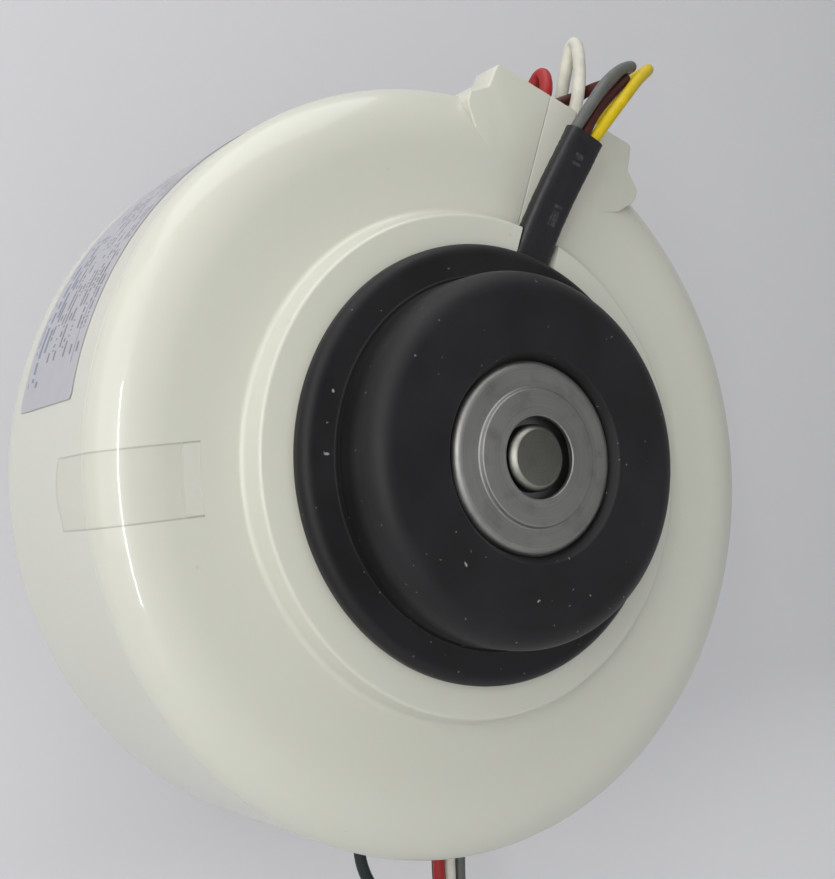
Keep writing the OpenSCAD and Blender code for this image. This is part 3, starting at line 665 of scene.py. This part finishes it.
RESIN = resin()
RUBBER = rubber()
STEEL_CUP = turned("pressed_steel", (0.285, 0.282, 0.268), 0.47, 5200.0, 0.20, 0.14, 0.3)
SHAFT_STEEL = turned("shaft_steel", (0.16, 0.158, 0.14), 0.42, 9000.0, 0.24, 0.22, 0.2, 1.7)
# The bearing steel's dark colour is partly painted shade: it keeps the bearing dark where it shows in the
# cup's hole.
BEARING_STEEL = turned("bearing_steel", (0.22, 0.22, 0.225), 0.38, 6000.0, 0.05, 0.08)
SPRING_STEEL = metal("spring_steel", (0.16, 0.16, 0.17), 0.40)
BRASS = metal("contact_brass", (0.78, 0.66, 0.36), 0.28, (1.0, 1.0, 40.0))
ALUMINIUM = metal("cast_aluminium", (0.60, 0.60, 0.61), 0.45, (1.0, 1.0, 1.0), 0.08, 0.25)
LAMINATION = laminations()
WINDING = winding("magnet_wire", (0.62, 0.24, 0.09))
BOARD = board()
BUSH = plastic("bush_plastic", (0.585, 0.575, 0.50), 0.38, **{"Subsurface Weight": 0.05})
BOBBIN = plastic("bobbin_plastic", (0.74, 0.72, 0.66), 0.45)
CHIP = plastic("chip_plastic", (0.015, 0.015, 0.016), 0.55, 0.2)
FUSE = plastic("fuse_ceramic", (0.68, 0.62, 0.50), 0.75, 0.1, 1800.0, 0.3)
MAGNET = plastic("magnet", (0.035, 0.032, 0.03), 0.60, 0.3, 1600.0, 0.25)
CAGE = plastic("cage_plastic", (0.24, 0.12, 0.06), 0.45, 0.1)
NYLON = plastic("plug_plastic", (0.72, 0.71, 0.64), 0.40, **{"Subsurface Weight": 0.1})
TIE = plastic("tie_plastic", (0.76, 0.76, 0.72), 0.38, **{"Subsurface Weight": 0.15})
SLEEVE = shrink_sleeve()
LABEL = printed_label()
FILM = clear_film()
WIRES = {
    "black": insulation("black_insulation", (0.012, 0.022, 0.020)),
    "red": insulation("red_insulation", (0.34, 0.016, 0.016)),
    "white": insulation("white_insulation", (0.60, 0.59, 0.50)),
    "grey": insulation("grey_insulation", (0.108, 0.114, 0.105)),
    "brown": insulation("brown_insulation", (0.060, 0.012, 0.010)),
    "yellow": insulation("yellow_insulation", (0.60, 0.44, 0.002)),
}

# ---- casing, cover and lead bush ----

SEAM = -4.8
LIP = 0.09
LAP_R = 46.43
LAP_END = -7.33
INNER_R = 43.58
SHOULDER = 8.0
REAR_SHOULDER = 7.6
WALL = 2.5
TONGUE_N = 32.0
CHANNEL = 2.45
SLEEVE_SLOT = (-3.35, 2.75)
BLOCK_SHIFT = 0.5
PAST_OUTLET = 53
BUSH_FACE = 51.5
POWER_HOLE_Z = -3.3
LEAD_NOTCH = (-6.75, 9.95, 49.1, PAST_OUTLET, -16, -5.4)


def block_outline(inset):
    """The raised block of the outlet: a foot that runs out into the shoulder, a step and the end face."""
    side = [(9.5, 36, 0), (9.5, 39.8, 1.2), (12.6, 41.5, 1.5), (14.5, 43.8, 0.6), (14.8, 44.6, 0.3),
            (14.8, 45.9 - inset, 0.4), (12.4, 47.8 - inset, 0.8), (12, 51.5 - inset, 0.7)]
    right = [(x - inset, y, r) for x, y, r in side]
    left = [(-x, y, r) for x, y, r in reversed(right)]
    return [(x + BLOCK_SHIFT, y) for x, y in rounded(right + left, 4)]


def bush_pocket():
    return outlet_box(-7.23, 10.43, 46.57, PAST_OUTLET, -8.1, -1.97)


def make_cover():
    outline = [(BORE_R, BOSS_H - WALL), (BORE_R, BOSS_H)]
    outline += rounded([(20, BOSS_H), (BOSS_TOP_R, BOSS_H, 0.55), (BOSS_R, 0.0, 0.9), (36, 0.0)], 6)
    outline += arc(CASING_R - SHOULDER, SEAM + 0.2, SHOULDER, -SEAM - 0.2, 90, 0, 28)
    outline += [(CASING_R, SEAM + LIP), (CASING_R - 0.04, SEAM + 0.05), (CASING_R - LIP, SEAM + 0.02),
                (46.4, SEAM + 0.02), (46.4, -7.3), (44.3, -7.3)]
    outline += arc(CASING_R - SHOULDER, SEAM, 44.3 - CASING_R + SHOULDER, -SEAM - WALL, 0, 90, 8)
    outline += [(29.6, -WALL), (28.6, BOSS_H - WALL)]
    bm = revolve(outline, 288)
    block = moved(prism(block_outline(0), SEAM + 0.02, -0.004, 0.22), OUTLET)
    window = outlet_box(-4.5, 4.5, 25.5, 31.2, -WALL, BOSS_H - WALL + 0.05)
    wide = outlet_box(*SLEEVE_SLOT, 20.5, TONGUE_N, -0.9, 4)
    narrow = outlet_box(-CHANNEL, CHANNEL, 20.4, PAST_OUTLET, -0.9, 4.1)
    through = outlet_box(-CHANNEL, CHANNEL, 20.3, 25.5, -4, 4.2)
    tunnel = outlet_box(-6.8, 5.4, 35, 46.7, -8, -2.2)
    bridge = outlet_box(-2.05, 2.05, 49.5, PAST_OUTLET, -2.5, -0.8)
    return carve(bm, [("UNION", block), ("UNION", window), ("DIFFERENCE", wide), ("DIFFERENCE", narrow),
                      ("DIFFERENCE", through), ("DIFFERENCE", tunnel), ("DIFFERENCE", bridge),
                      ("DIFFERENCE", bush_pocket())])


def make_casing():
    end = -CASING_L
    core_end, core_seat = -27.53, 41.55
    outline = [(LAP_R, SEAM - 0.02), (CASING_R - LIP, SEAM - 0.02), (CASING_R - 0.04, SEAM - 0.05),
               (CASING_R, SEAM - LIP), (CASING_R, -16.0)]
    outline += arc(CASING_R - REAR_SHOULDER, end + REAR_SHOULDER, REAR_SHOULDER, REAR_SHOULDER, 0, -90, 26)
    outline += rounded([(36, end), (BOSS_R, end, 0.9), (BOSS_TOP_R, end - BOSS_H, 0.55),
                        (20, end - BOSS_H)], 6)
    outline += [(BORE_R, end - BOSS_H), (BORE_R, end - BOSS_H + WALL), (28.6, end - BOSS_H + WALL),
                (29.6, end + WALL), (core_seat, end + WALL), (core_seat, core_end), (INNER_R, core_end),
                (INNER_R, LAP_END), (LAP_R, LAP_END)]
    bm = revolve(outline, 288)
    block = moved(prism(block_outline(0.7), -14, SEAM - 0.02, 0.22), OUTLET)
    hollow = revolve([(0.0, -20.0), (LAP_R, -20.0), (LAP_R, -1.0), (0.0, -1.0)], 288)
    block = carve(block, [("DIFFERENCE", hollow)])
    return carve(bm, [("UNION", block), ("DIFFERENCE", bush_pocket()),
                      ("DIFFERENCE", outlet_box(*LEAD_NOTCH))])


def make_bush():
    tongue = box(-2.3, 2.3, TONGUE_N + 0.06, 51.45, -0.87, -0.01, 0.05, 0.12)
    bridge = box(-1.9, 1.9, 49.6, 51.4, -2.6, -0.5)
    body = box(-7.2, 10.4, 46.6, BUSH_FACE, -8, -2, 0.2, 0.3)
    z = POWER_HOLE_Z
    outwards = Matrix.Rotation(math.radians(-90), 4, "X")
    holes = [("DIFFERENCE", rod(1.0, (x, 45, z), (x, 54, z), 40)) for x in POWER_X]
    mouths = [("DIFFERENCE", moved(revolve([(0, 0), (0.9, 0), (1.5, 0.6), (0, 0.6)], 36),
                                   Matrix.Translation((x, BUSH_FACE - 0.5, z)) @ outwards))
              for x in POWER_X]
    shape = carve(body, [("UNION", bridge), ("UNION", tongue)] + holes + mouths
                  + [("DIFFERENCE", box(*LEAD_NOTCH))])
    return moved(shape, OUTLET)


# ---- leads: three power leads through the bush, then three sensor leads through the sleeve ----

POWER_X = (-5.4, -1.3, 4.1)
SENSOR_X = (6.5, 1.4, 9.1)
LOOP_H = (1.4, 5.3, 12.5)
PINCH = 0.7
LOOP_LEAN = (0.0, -0.3, -1.8)
LANE = (33.1, 35.15, 38.85, 40.65, 37.0, 42.35)
LEAVE = (-62, -50, -46, -43, -48, -41)
RUN_Z = -CASING_L - 1.3
HANG_Z = RUN_Z - 0.7
NOTCH_Y = 50.25
TIE_Y = -74.0
PLUG_TOP = -92.0
PLUG_Z = HANG_Z - 0.5
POWER_PLUG_X, POWER_PITCH = 8.0, 3.96
SENSOR_PLUG_X, SENSOR_PITCH = 21.5, 2.5
PIN_X = (POWER_PLUG_X - POWER_PITCH, POWER_PLUG_X, POWER_PLUG_X + POWER_PITCH,
         SENSOR_PLUG_X + SENSOR_PITCH, SENSOR_PLUG_X - SENSOR_PITCH, SENSOR_PLUG_X)
SLEEVE_LINE = ((0, 24.8, 0.6), (0, 28.4, 1.4), (-0.2, 33, 2.7), (-0.4, 37.5, 4), (-0.1, 42, 5.3),
               (0.15, 44.9, 6.1))
SENSOR_ARC = (
    ((-0.75, 48.5, 7.2), (0.8, 52.6, 7), (4.1, 57.2, 5), (7.5, 60.4, 2.6), (8, 60.5, 0.2),
     (7.5, 58.7, -2.4), (6.9, 55.6, -4.5), (6.6, 52, -6.1), (6.5, 50.6, -7.6)),
    ((0.95, 48.3, 6), (3.1, 52.6, 5.4), (5.9, 56.9, 3.9), (7.3, 58.6, 1.4), (6.4, 58.2, -1),
     (5.58, 57.6, -3.2), (5.3, 57.1, -4.8), (3.7, 55.6, -5.05), (2.1, 54.1, -5.6), (1.4, 51.8, -7),
     (1.4, 50.6, -8.6)),
    ((2.7, 48.4, 7), (4.5, 52.5, 6.8), (7.2, 57.2, 5), (10.5, 61.6, 2.4), (11.4, 62.4, 0.2),
     (10.9, 60.9, -2.6), (9.4, 57, -4.8), (9, 52.5, -6.1), (9.1, 50.6, -7.6)))


def lead_start(k):
    """From the hole in the bush, or through the sleeve, over the edge and into the notch behind it."""
    if k > 2:
        shift = (-1.6, 0.0, 1.6)[k - 3]
        return ([outlet(shift, 21, -0.15), outlet(shift, 22.8, 0)]
                + [outlet(x + shift, y, z) for x, y, z in SLEEVE_LINE]
                + [outlet(*p) for p in SENSOR_ARC[k - 3]])
    x, h, s = POWER_X[k], LOOP_H[k], LOOP_LEAN[k]
    edge, near, far = BUSH_FACE, POWER_HOLE_Z, -6.75
    return [outlet(x, 38.7, near), outlet(x, 45, near), outlet(x, edge, near),
            outlet(x + 0.2 * s, edge + 0.45 * h, near + 0.2),
            outlet(x + 0.75 * s, edge + 0.88 * h, near - PINCH),
            outlet(x + s, edge + h, (near + far) / 2), outlet(x + 0.75 * s, edge + 0.88 * h, far + PINCH),
            outlet(x + 0.2 * s, edge + 0.45 * h, far - 0.2), outlet(x, edge, far),
            outlet(x, 50.5, far - 0.6)]


def lead_back(k):
    """Along the casing's side, round its rear shoulder and across its rear face."""
    x = POWER_X[k] if k < 3 else SENSOR_X[k - 3]
    r0 = math.hypot(x, NOTCH_Y)
    a0 = 65 - math.degrees(math.atan(x / NOTCH_Y))
    lane = LANE[k]
    out = [outlet(x, NOTCH_Y, -12.2), around(r0, a0, -15.5), around(r0, a0, -21), around(r0, a0 - 0.4, -28),
           around(49.4, a0 - 2, -33.4), around(47, a0 - 4.5, -37), around(44.1, a0 - 7, -38.8),
           around(lane + 0.3 * (44.1 - lane), a0 - 11, RUN_Z)]
    return out + [around(lane + 0.16 * max(0, i - 6) ** 2, lerp(a0 - 20, LEAVE[k], i / 8), RUN_Z)
                  for i in range(9)]


SLACK = (
    ((7.6, -35.9, 0.3), (2.6, -45, 0), (-0.2, -54.5, 0), (1.8, -61.5, 0), (7.4, -67, 0)),
    ((18, -34.2, 0.3), (15.8, -43, 0), (13.9, -56, 0), (13.1, -65, 0)),
    ((21.4, -34.7, 0.3), (18.3, -43, 0), (16, -56, 0), (15.1, -65, 0)),
    ((24.1, -34.7, 0.3), (20.8, -43, 0), (18.2, -56, 0), (17, -65, 0)),
    ((20.2, -34, -1.1), (17.6, -42.5, -1.9), (14.9, -56, -2), (14, -65, -1.9)),
    ((27, -34.5, -0.3), (22.6, -42, -1.5), (18, -56, -2.1), (16, -65, -1.9)))
TIE_AT = ((10.9, 0), (13, 0), (15.1, 0), (17.2, 0), (13.9, -1.8), (15.9, -1.8))
FAN_AT = ((8.6, -0.2), (10.9, -0.2), (13.5, -0.2), (20.2, -0.2), (15.7, -2), (18.4, -1.7))


def make_lead(k):
    """One lead from inside the motor to its contact in a plug."""
    points = lead_start(k) + lead_back(k) + [(x, y, HANG_Z + z) for x, y, z in SLACK[k]]
    points += [(TIE_AT[k][0], TIE_Y + y, HANG_Z + TIE_AT[k][1]) for y in (4, 0, -4)]
    points += [(FAN_AT[k][0], PLUG_TOP + 7.5, HANG_Z + FAN_AT[k][1])]
    points += [(PIN_X[k], PLUG_TOP + 2, PLUG_Z), (PIN_X[k], PLUG_TOP - 3, PLUG_Z)]
    path = relaxed(spline(points, 8), 6)
    radius = 0.9 if k < 3 else 0.775
    return loft(path, outlet(1, 0, 0), lambda i, t: circle(radius, 20))


def squared(rx, ry, power, count=40):
    """A squashed round outline; a power below 1 squares it off."""
    out = []
    for i in range(count):
        c, s = math.cos(2 * math.pi * i / count), math.sin(2 * math.pi * i / count)
        out.append((rx * math.copysign(abs(c) ** power, c), ry * math.copysign(abs(s) ** power, s)))
    return out


def make_sleeve():
    line = ((-0.3, 24.8, 0.6), (-0.4, 28.4, 1.4), (-0.45, 33, 2.7), (-0.3, 37.5, 4), (0.05, 42, 5.3),
            (0.25, 44.9, 6.1))
    path = spline([outlet(*p) for p in line], 12)
    ripple = [random.uniform(-1, 1) for _ in path]
    half_width, half_height, wall_thickness, power = 2.76, 1.34, 0.24, 0.62

    def size(i, t, wall):
        swell = 0.03 * ripple[i] * min(1, 8 * t * (1 - t))
        flare = 0.10 * max(0.0, (t - 0.9) / 0.1)
        return half_width + swell - wall, half_height + flare + 0.5 * swell - wall

    return loft(path, outlet(1, 0, 0), lambda i, t: squared(*size(i, t, 0), power),
                inner=lambda i, t: squared(*size(i, t, wall_thickness), power))


# ---- round parts ----

def make_cup():
    face, step = CUP_FACE, CUP_STEP
    sheet = 0.6
    foot = BOSS_H - WALL - 0.03
    outline = [(15, foot - sheet), (15, foot), (11.9, foot), (CUP_R, foot + 0.3)]
    outline += arc(CUP_R - 1.2, face - 1.2, 1.2, 1.2, 0, 90, 10)
    outline += rounded([(9.4, face), (8.32, face + 0.03, 0.25), (8.1, step - 0.03, 0.2),
                        (6.2, step + 0.02)], 5)
    outline += [(5.35, step + 0.05), (5.02, step + 0.10), (4.9, step + 0.02), (4.87, step - 0.12)]
    outline += [(4.87, step - 0.45), (5.1, step + 0.1 - sheet), (7.8, step - sheet),
                (8.3, face + 0.05 - sheet)]
    outline += arc(CUP_R - 1.2, face - 1.2, 0.6, 0.6, 90, 0, 5)
    outline += [(CUP_R - sheet, foot - sheet)]
    return revolve(outline, 192)


def make_ring():
    low, top, crown = BOSS_H + 0.03, FLANGE_TOP, RING_CROWN
    outline = [(BORE_R, low), (FLANGE_R - 0.35, low), (FLANGE_R - 0.08, low + 0.12), (FLANGE_R, low + 0.4)]
    outline += arc(FLANGE_R - 1.35, top - 1.3, 1.35, 1.3, 0, 84, 9)
    outline += rounded([(FLANGE_R - 1.6, top), (RING_R + 0.35, top, 0.12), (RING_R + 0.35, top + 0.3, 0.1),
                        (RING_R, top + 0.3, 0.12), (RING_R, top + 1.0)], 3)
    outline += arc(RING_R - 2.85, crown - 2.85, 2.85, 2.85, 0, 90, 18)
    outline += rounded([(14, crown), (CUP_R + 0.95, crown, 0.35), (CUP_R + 0.35, crown - 0.9)], 4)[1:]
    outline += [(BORE_R, crown - 1.5)]
    return revolve(outline, 224)


def make_shaft():
    """The shaft with its undercut, two retaining-ring grooves, chamfered ends and the drive flat."""
    top = CUP_STEP + 0.02
    tip = SHAFT_TIP
    r = SHAFT_R
    groove, groove_r = 3.85, 3.55
    relief = -CASING_L - 13.35
    flat_depth, flat_length = 0.8, 20
    outline = [(0, tip + 1.2), (0.45, tip + 0.75), (1.15, tip), (r - 0.55, tip), (r - 0.46, tip + 0.03),
               (r - 0.03, tip + 0.46), (r, tip + 0.55), (r, relief - 1.1), (r - 0.3, relief - 1.0),
               (r - 0.3, relief - 0.4), (r, relief - 0.3)]
    for z in (-CASING_L - groove, groove):
        outline += [(r, z - 0.45), (groove_r, z - 0.44), (groove_r, z + 0.44), (r, z + 0.45)]
    outline += [(r, top - 0.8), (r - 0.03, top - 0.73), (r - 0.68, top - 0.03), (r - 0.77, top), (0, top)]
    bm = revolve(outline, 96)
    flat = box(-8, 8, r - flat_depth, 8, tip - 1, tip + flat_length)
    return carve(bm, [("DIFFERENCE", flat)])


def make_label():
    """A curved film with rounded corners. Its UV map runs once along and once across it."""
    columns, rows = 96, 14
    start, sweep, low, high = 165.0, -68.0, -28.2, -9.8
    corner, gap = 0.4, 0.05
    length = math.radians(-sweep) * CASING_R
    grid = []
    for i in range(columns + 1):
        share = i / columns
        from_end = min(share, 1 - share) * length
        cut = corner - math.sqrt(max(0.0, corner ** 2 - max(0.0, corner - from_end) ** 2))
        r = CASING_R + gap + 0.05 * max(0.0, 1 - from_end / 1.5)
        heights = [lerp(low + cut, high - cut, k / rows) for k in range(rows + 1)]
        grid.append([(around(r, start + sweep * share, z), share, (z - low) / (high - low)) for z in heights])
    return film(grid)


def make_tape():
    """A strip over the cover's face, its shoulder and the side, with a bowed rear end."""
    front, rear, low, high = 36.9, -12.2, -2.2, 6.2
    line = [(front + 3.7 * i / 6, 0.0) for i in range(6)]
    line += arc(CASING_R - SHOULDER, SEAM + 0.2, SHOULDER, -SEAM - 0.2, 90, 0, 28)
    line += [(CASING_R, lerp(SEAM + 0.2, rear, (i + 1) / 12)) for i in range(12)]
    across = 56
    grid = []
    for i, (r, z) in enumerate(line):
        share = i / (len(line) - 1)
        before, after = line[max(i - 1, 0)], line[min(i + 1, len(line) - 1)]
        out = Vector((-(after[1] - before[1]), after[0] - before[0])).normalized()
        row = []
        for k in range(across + 1):
            part = k / across
            y = lerp(low, high, part)
            bow = 1.0 * math.sin(math.pi * min(1.0, (1 - part) * 1.15)) * max(0.0, (share - 0.7) / 0.3)
            curl = 0.10 * max(0.0, (share - 0.9) / 0.1)
            lift = 0.05 + 0.012 * math.sin(9 * share + 0.7 * y) * math.sin(2.1 * y) + curl
            radius, height = r + out.x * lift, z + out.y * lift - bow
            row.append(((-math.sqrt(radius ** 2 - y * y), y, height), share, part))
        grid.append(row)
    return film(grid)


# ---- tie and plugs ----

def make_plug(x, width, depth, length, pitch, hole):
    """A three-way housing with contact holes, side grooves, latch windows and a locking bar."""
    z = PLUG_Z
    bottom = PLUG_TOP - length
    body = box(x - width / 2, x + width / 2, bottom, PLUG_TOP, z - depth / 2, z + depth / 2, 0.25, 0.35)
    steps = [("UNION", box(x - width / 4, x + width / 4, bottom + 1.5, PLUG_TOP - 3,
                           z + depth / 2 - 0.3, z + depth / 2 + 1, 0.15, 0.25))]
    for i in (-1, 0, 1):
        c = x + i * pitch
        steps.append(("DIFFERENCE", box(c - hole / 2, c + hole / 2, bottom - 1, PLUG_TOP + 1,
                                        z - hole / 2, z + hole / 2)))
        steps.append(("DIFFERENCE", box(c - 0.45, c + 0.45, bottom + length * 0.35, bottom + length * 0.62,
                                        z - depth / 2 - 1, z - depth / 2 + 0.9)))
    for side in (-1, 1):
        edge = x + side * width / 2
        steps.append(("DIFFERENCE", box(edge - 0.6, edge + 0.6, bottom - 1, PLUG_TOP - 5, z - 1, z + 1)))
    return carve(body, steps)


def make_contacts(x, pitch, width, length):
    """Three folded receptacles, each open at its mouth and along the seam of the fold."""
    z, half, sheet = PLUG_Z, width / 2, 0.28
    mouth = PLUG_TOP - length
    shapes = []
    for i in (-1, 0, 1):
        c = x + i * pitch
        body = box(c - half, c + half, mouth, PLUG_TOP - 3.1, z - half, z + half, 0.12)
        bore = box(c - half + sheet, c + half - sheet, mouth - 1, mouth + 6,
                   z - half + sheet, z + half - sheet)
        seam = box(c - 0.06, c + 0.06, mouth - 1, mouth + 6, z, z + width)
        shapes.append(carve(body, [("DIFFERENCE", bore), ("DIFFERENCE", seam)]))
    return merged(shapes)


def make_tie():
    """A strap drawn round the leads, with its ribs and the slotted head."""
    z = HANG_Z - 0.9
    x = 14.2
    outer, inner = [rounded([(x + side * a, z + end * b, corner)
                             for side, end in ((-1, -1), (1, -1), (1, 1), (-1, 1))], 6)
                    for a, b, corner in ((5.25, 3.1, 2.0), (4.25, 2.1, 1.1))]
    upright = Matrix.Rotation(math.radians(90), 4, "X")
    band = moved(prism(outer, -1.25, 1.25, 0.18), upright)
    hollow = moved(prism(inner, -3, 3), upright)
    head = moved(box(x - 2.4, x + 2.4, z - 6.2, z - 2.9, -1.9, 1.7, 0.3, 0.4), upright)
    slot = moved(box(x - 1.5, x + 1.5, z - 5.2, z - 4.2, -4, 4), upright)
    ribs = [("DIFFERENCE", moved(box(x - 4 + i * 0.8, x - 3.7 + i * 0.8, z + 2.9, z + 3.4, -0.9, 0.9),
                                 upright)) for i in range(11)]
    shape = carve(band, [("UNION", head), ("DIFFERENCE", hollow), ("DIFFERENCE", slot)] + ribs)
    return moved(shape, Matrix.Translation((0, TIE_Y, 0)))


# ---- build the pieces ----

new_object("cover_shell", make_cover(), "housing", RESIN, nodes=["end_cover"])
new_object("casing_shell", make_casing(), "housing", RESIN, nodes=["motor_casing"])
new_object("lead_outlet_bush", make_bush(), "housing", BUSH, nodes=["lead_bush"])
for place, at in (("sensor_end", None), ("drive_end", DRIVE_END)):
    new_object(place + "_cup", make_cup(), "housing", STEEL_CUP, at,
               nodes=[place + "_bearing_cup"])
    new_object(place + "_rubber", make_ring(), "housing", RUBBER, at,
               nodes=[place + "_mounting_ring"])
new_object("motor_shaft", make_shaft(), "rotor", SHAFT_STEEL, nodes=["rotor_shaft"])
for k, color in enumerate(("black", "red", "white", "grey", "brown", "yellow")):
    new_object(color + "_wire", make_lead(k), "housing", WIRES[color],
               smooth=60, nodes=[color + "_lead"])
new_object("sleeve", make_sleeve(), "housing", SLEEVE, smooth=60, nodes=["sensor_sleeve"])
new_object("label_film", make_label(), "housing", LABEL, nodes=["rating_label"])
new_object("tape_strip", make_tape(), "housing", FILM, smooth=50, nodes=["sealing_tape"])
new_object("power_connector", make_plug(POWER_PLUG_X, 13, 8, 15, POWER_PITCH, 2.5), "housing",
           NYLON, nodes=["power_plug"])
new_object("sensor_connector", make_plug(SENSOR_PLUG_X, 10, 6, 12, SENSOR_PITCH, 1.9), "housing",
           NYLON, nodes=["sensor_plug"])
new_object("power_contacts", make_contacts(POWER_PLUG_X, POWER_PITCH, 2, 13), "housing",
           BRASS, nodes=["power_plug_contacts"])
new_object("sensor_contacts", make_contacts(SENSOR_PLUG_X, SENSOR_PITCH, 1.4, 10), "housing",
           BRASS, nodes=["sensor_plug_contacts"])
new_object("strap", make_tie(), "housing", TIE, nodes=["cable_tie"])

SLOT_MATERIALS = {
    "pressed_steel": STEEL_CUP, "lamination": LAMINATION, "bobbin_plastic": BOBBIN, "magnet_wire": WINDING,
    "contact_brass": BRASS, "board_laminate": BOARD, "chip_plastic": CHIP, "fuse_ceramic": FUSE,
    "cast_aluminium": ALUMINIUM, "magnet": MAGNET, "spring_steel": SPRING_STEEL,
    "bearing_steel": BEARING_STEEL, "cage_plastic": CAGE,
}
for sub in frame["record"]["subparts"]:
    node = frame["nodes"][sub["node"]]
    material = SLOT_MATERIALS.get(sub["material_slot"])
    if material is not None and not node.hide_render:
        node.data.materials.clear()
        node.data.materials.append(material)

# ---- floor, backdrop, light and camera ----


def stage_material():
    """Pale grey, and clear where it is seen from behind, so the backdrop never hides the motor."""
    s = Shader("pale_stage")
    tone = s.mix(s.noise(3.0, 2.0), (0.635, 0.635, 0.65), (0.665, 0.665, 0.68))
    # Painted shade: the sheet is painted darker towards the right, standing in for the light falling off.
    tone = s.mix(s.span(s.axes()[0], -0.05, 0.35), tone, (0.56, 0.56, 0.565))
    solid = s.add("ShaderNodeBsdfPrincipled", {"Base Color": tone, "Roughness": 0.55}).outputs[0]
    clear = s.add("ShaderNodeBsdfTransparent").outputs[0]
    return s.blend(s.add("ShaderNodeNewGeometry").outputs["Backfacing"], solid, clear)


def make_stage(floor_z, back_y):
    """One sheet: the floor, a curve and an upright backdrop."""
    bm = bmesh.new()
    bend, reach, height = 0.05, 1.6, 1.5
    side = [(-reach, floor_z), (back_y - bend, floor_z)]
    side += [(back_y - bend + bend * math.sin(a), floor_z + bend - bend * math.cos(a))
             for a in (math.radians(6 * i) for i in range(1, 15))]
    side += [(back_y, floor_z + bend), (back_y, height)]
    left = [bm.verts.new((-reach, y, z)) for y, z in side]
    right = [bm.verts.new((reach, y, z)) for y, z in side]
    for i in range(len(side) - 1):
        bm.faces.new((left[i], right[i], right[i + 1], left[i + 1]))
    mesh = as_mesh(bm)
    mesh.shade_smooth()
    mesh.materials.append(stage_material())
    linked("stage_sheet", mesh)


def area_light(name, place, aim, size, watts, color=(1, 1, 1)):
    data = bpy.data.lights.new(name, "AREA")
    data.shape = "RECTANGLE"
    data.size, data.size_y = size
    data.energy = watts
    data.color = color
    lamp = linked(name, data)
    lamp.location = place
    lamp.rotation_euler = (Vector(aim) - Vector(place)).to_track_quat("-Z", "Y").to_euler()


low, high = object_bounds()
make_stage(low.z - 0.004, high.y + 0.012)
area_light("strip", (-0.178, -0.249, 0.009), (-0.045, -0.0445, 0.001), (0.008, 0.19), 0.17)
area_light("window", (-0.42, -0.32, 0.20), (0, -0.03, 0), (0.45, 0.6), 1.1, (1.0, 0.99, 0.97))
area_light("ceiling", (-0.05, -0.25, 0.9), (0, -0.02, 0), (0.9, 0.7), 4.1)

world = bpy.data.worlds.new("soft_room")
world.use_nodes = True
links = world.node_tree.links
background = world.node_tree.nodes["Background"]
background.inputs["Color"].default_value = (0.93, 0.94, 0.97, 1.0)
toward = world.node_tree.nodes.new("ShaderNodeTexCoord")
parts = world.node_tree.nodes.new("ShaderNodeSeparateXYZ")
falloff = world.node_tree.nodes.new("ShaderNodeMapRange")
for index, value in enumerate((-0.8, 0.8, 0.92, 0.27)):
    falloff.inputs[index + 1].default_value = value
links.new(toward.outputs["Generated"], parts.inputs[0])
links.new(parts.outputs[0], falloff.inputs[0])
links.new(falloff.outputs[0], background.inputs["Strength"])
bpy.context.scene.world = world
bpy.context.scene.view_settings.view_transform = "Standard"

camera_data = bpy.data.cameras.new("camera")
camera_data.lens = 56.32
camera_data.sensor_width = 36.0
camera_data.clip_start = 0.01
camera = linked("camera", camera_data)
right = Vector((0.82984, -0.54602, -0.11498))
upward = Vector((0.08486, -0.08016, 0.99317))
turned_to = Matrix((right, upward, right.cross(upward))).transposed().to_4x4()
camera.matrix_world = Matrix.Translation((-0.100053, -0.185132, 0.000483)) @ turned_to
bpy.context.scene.camera = camera
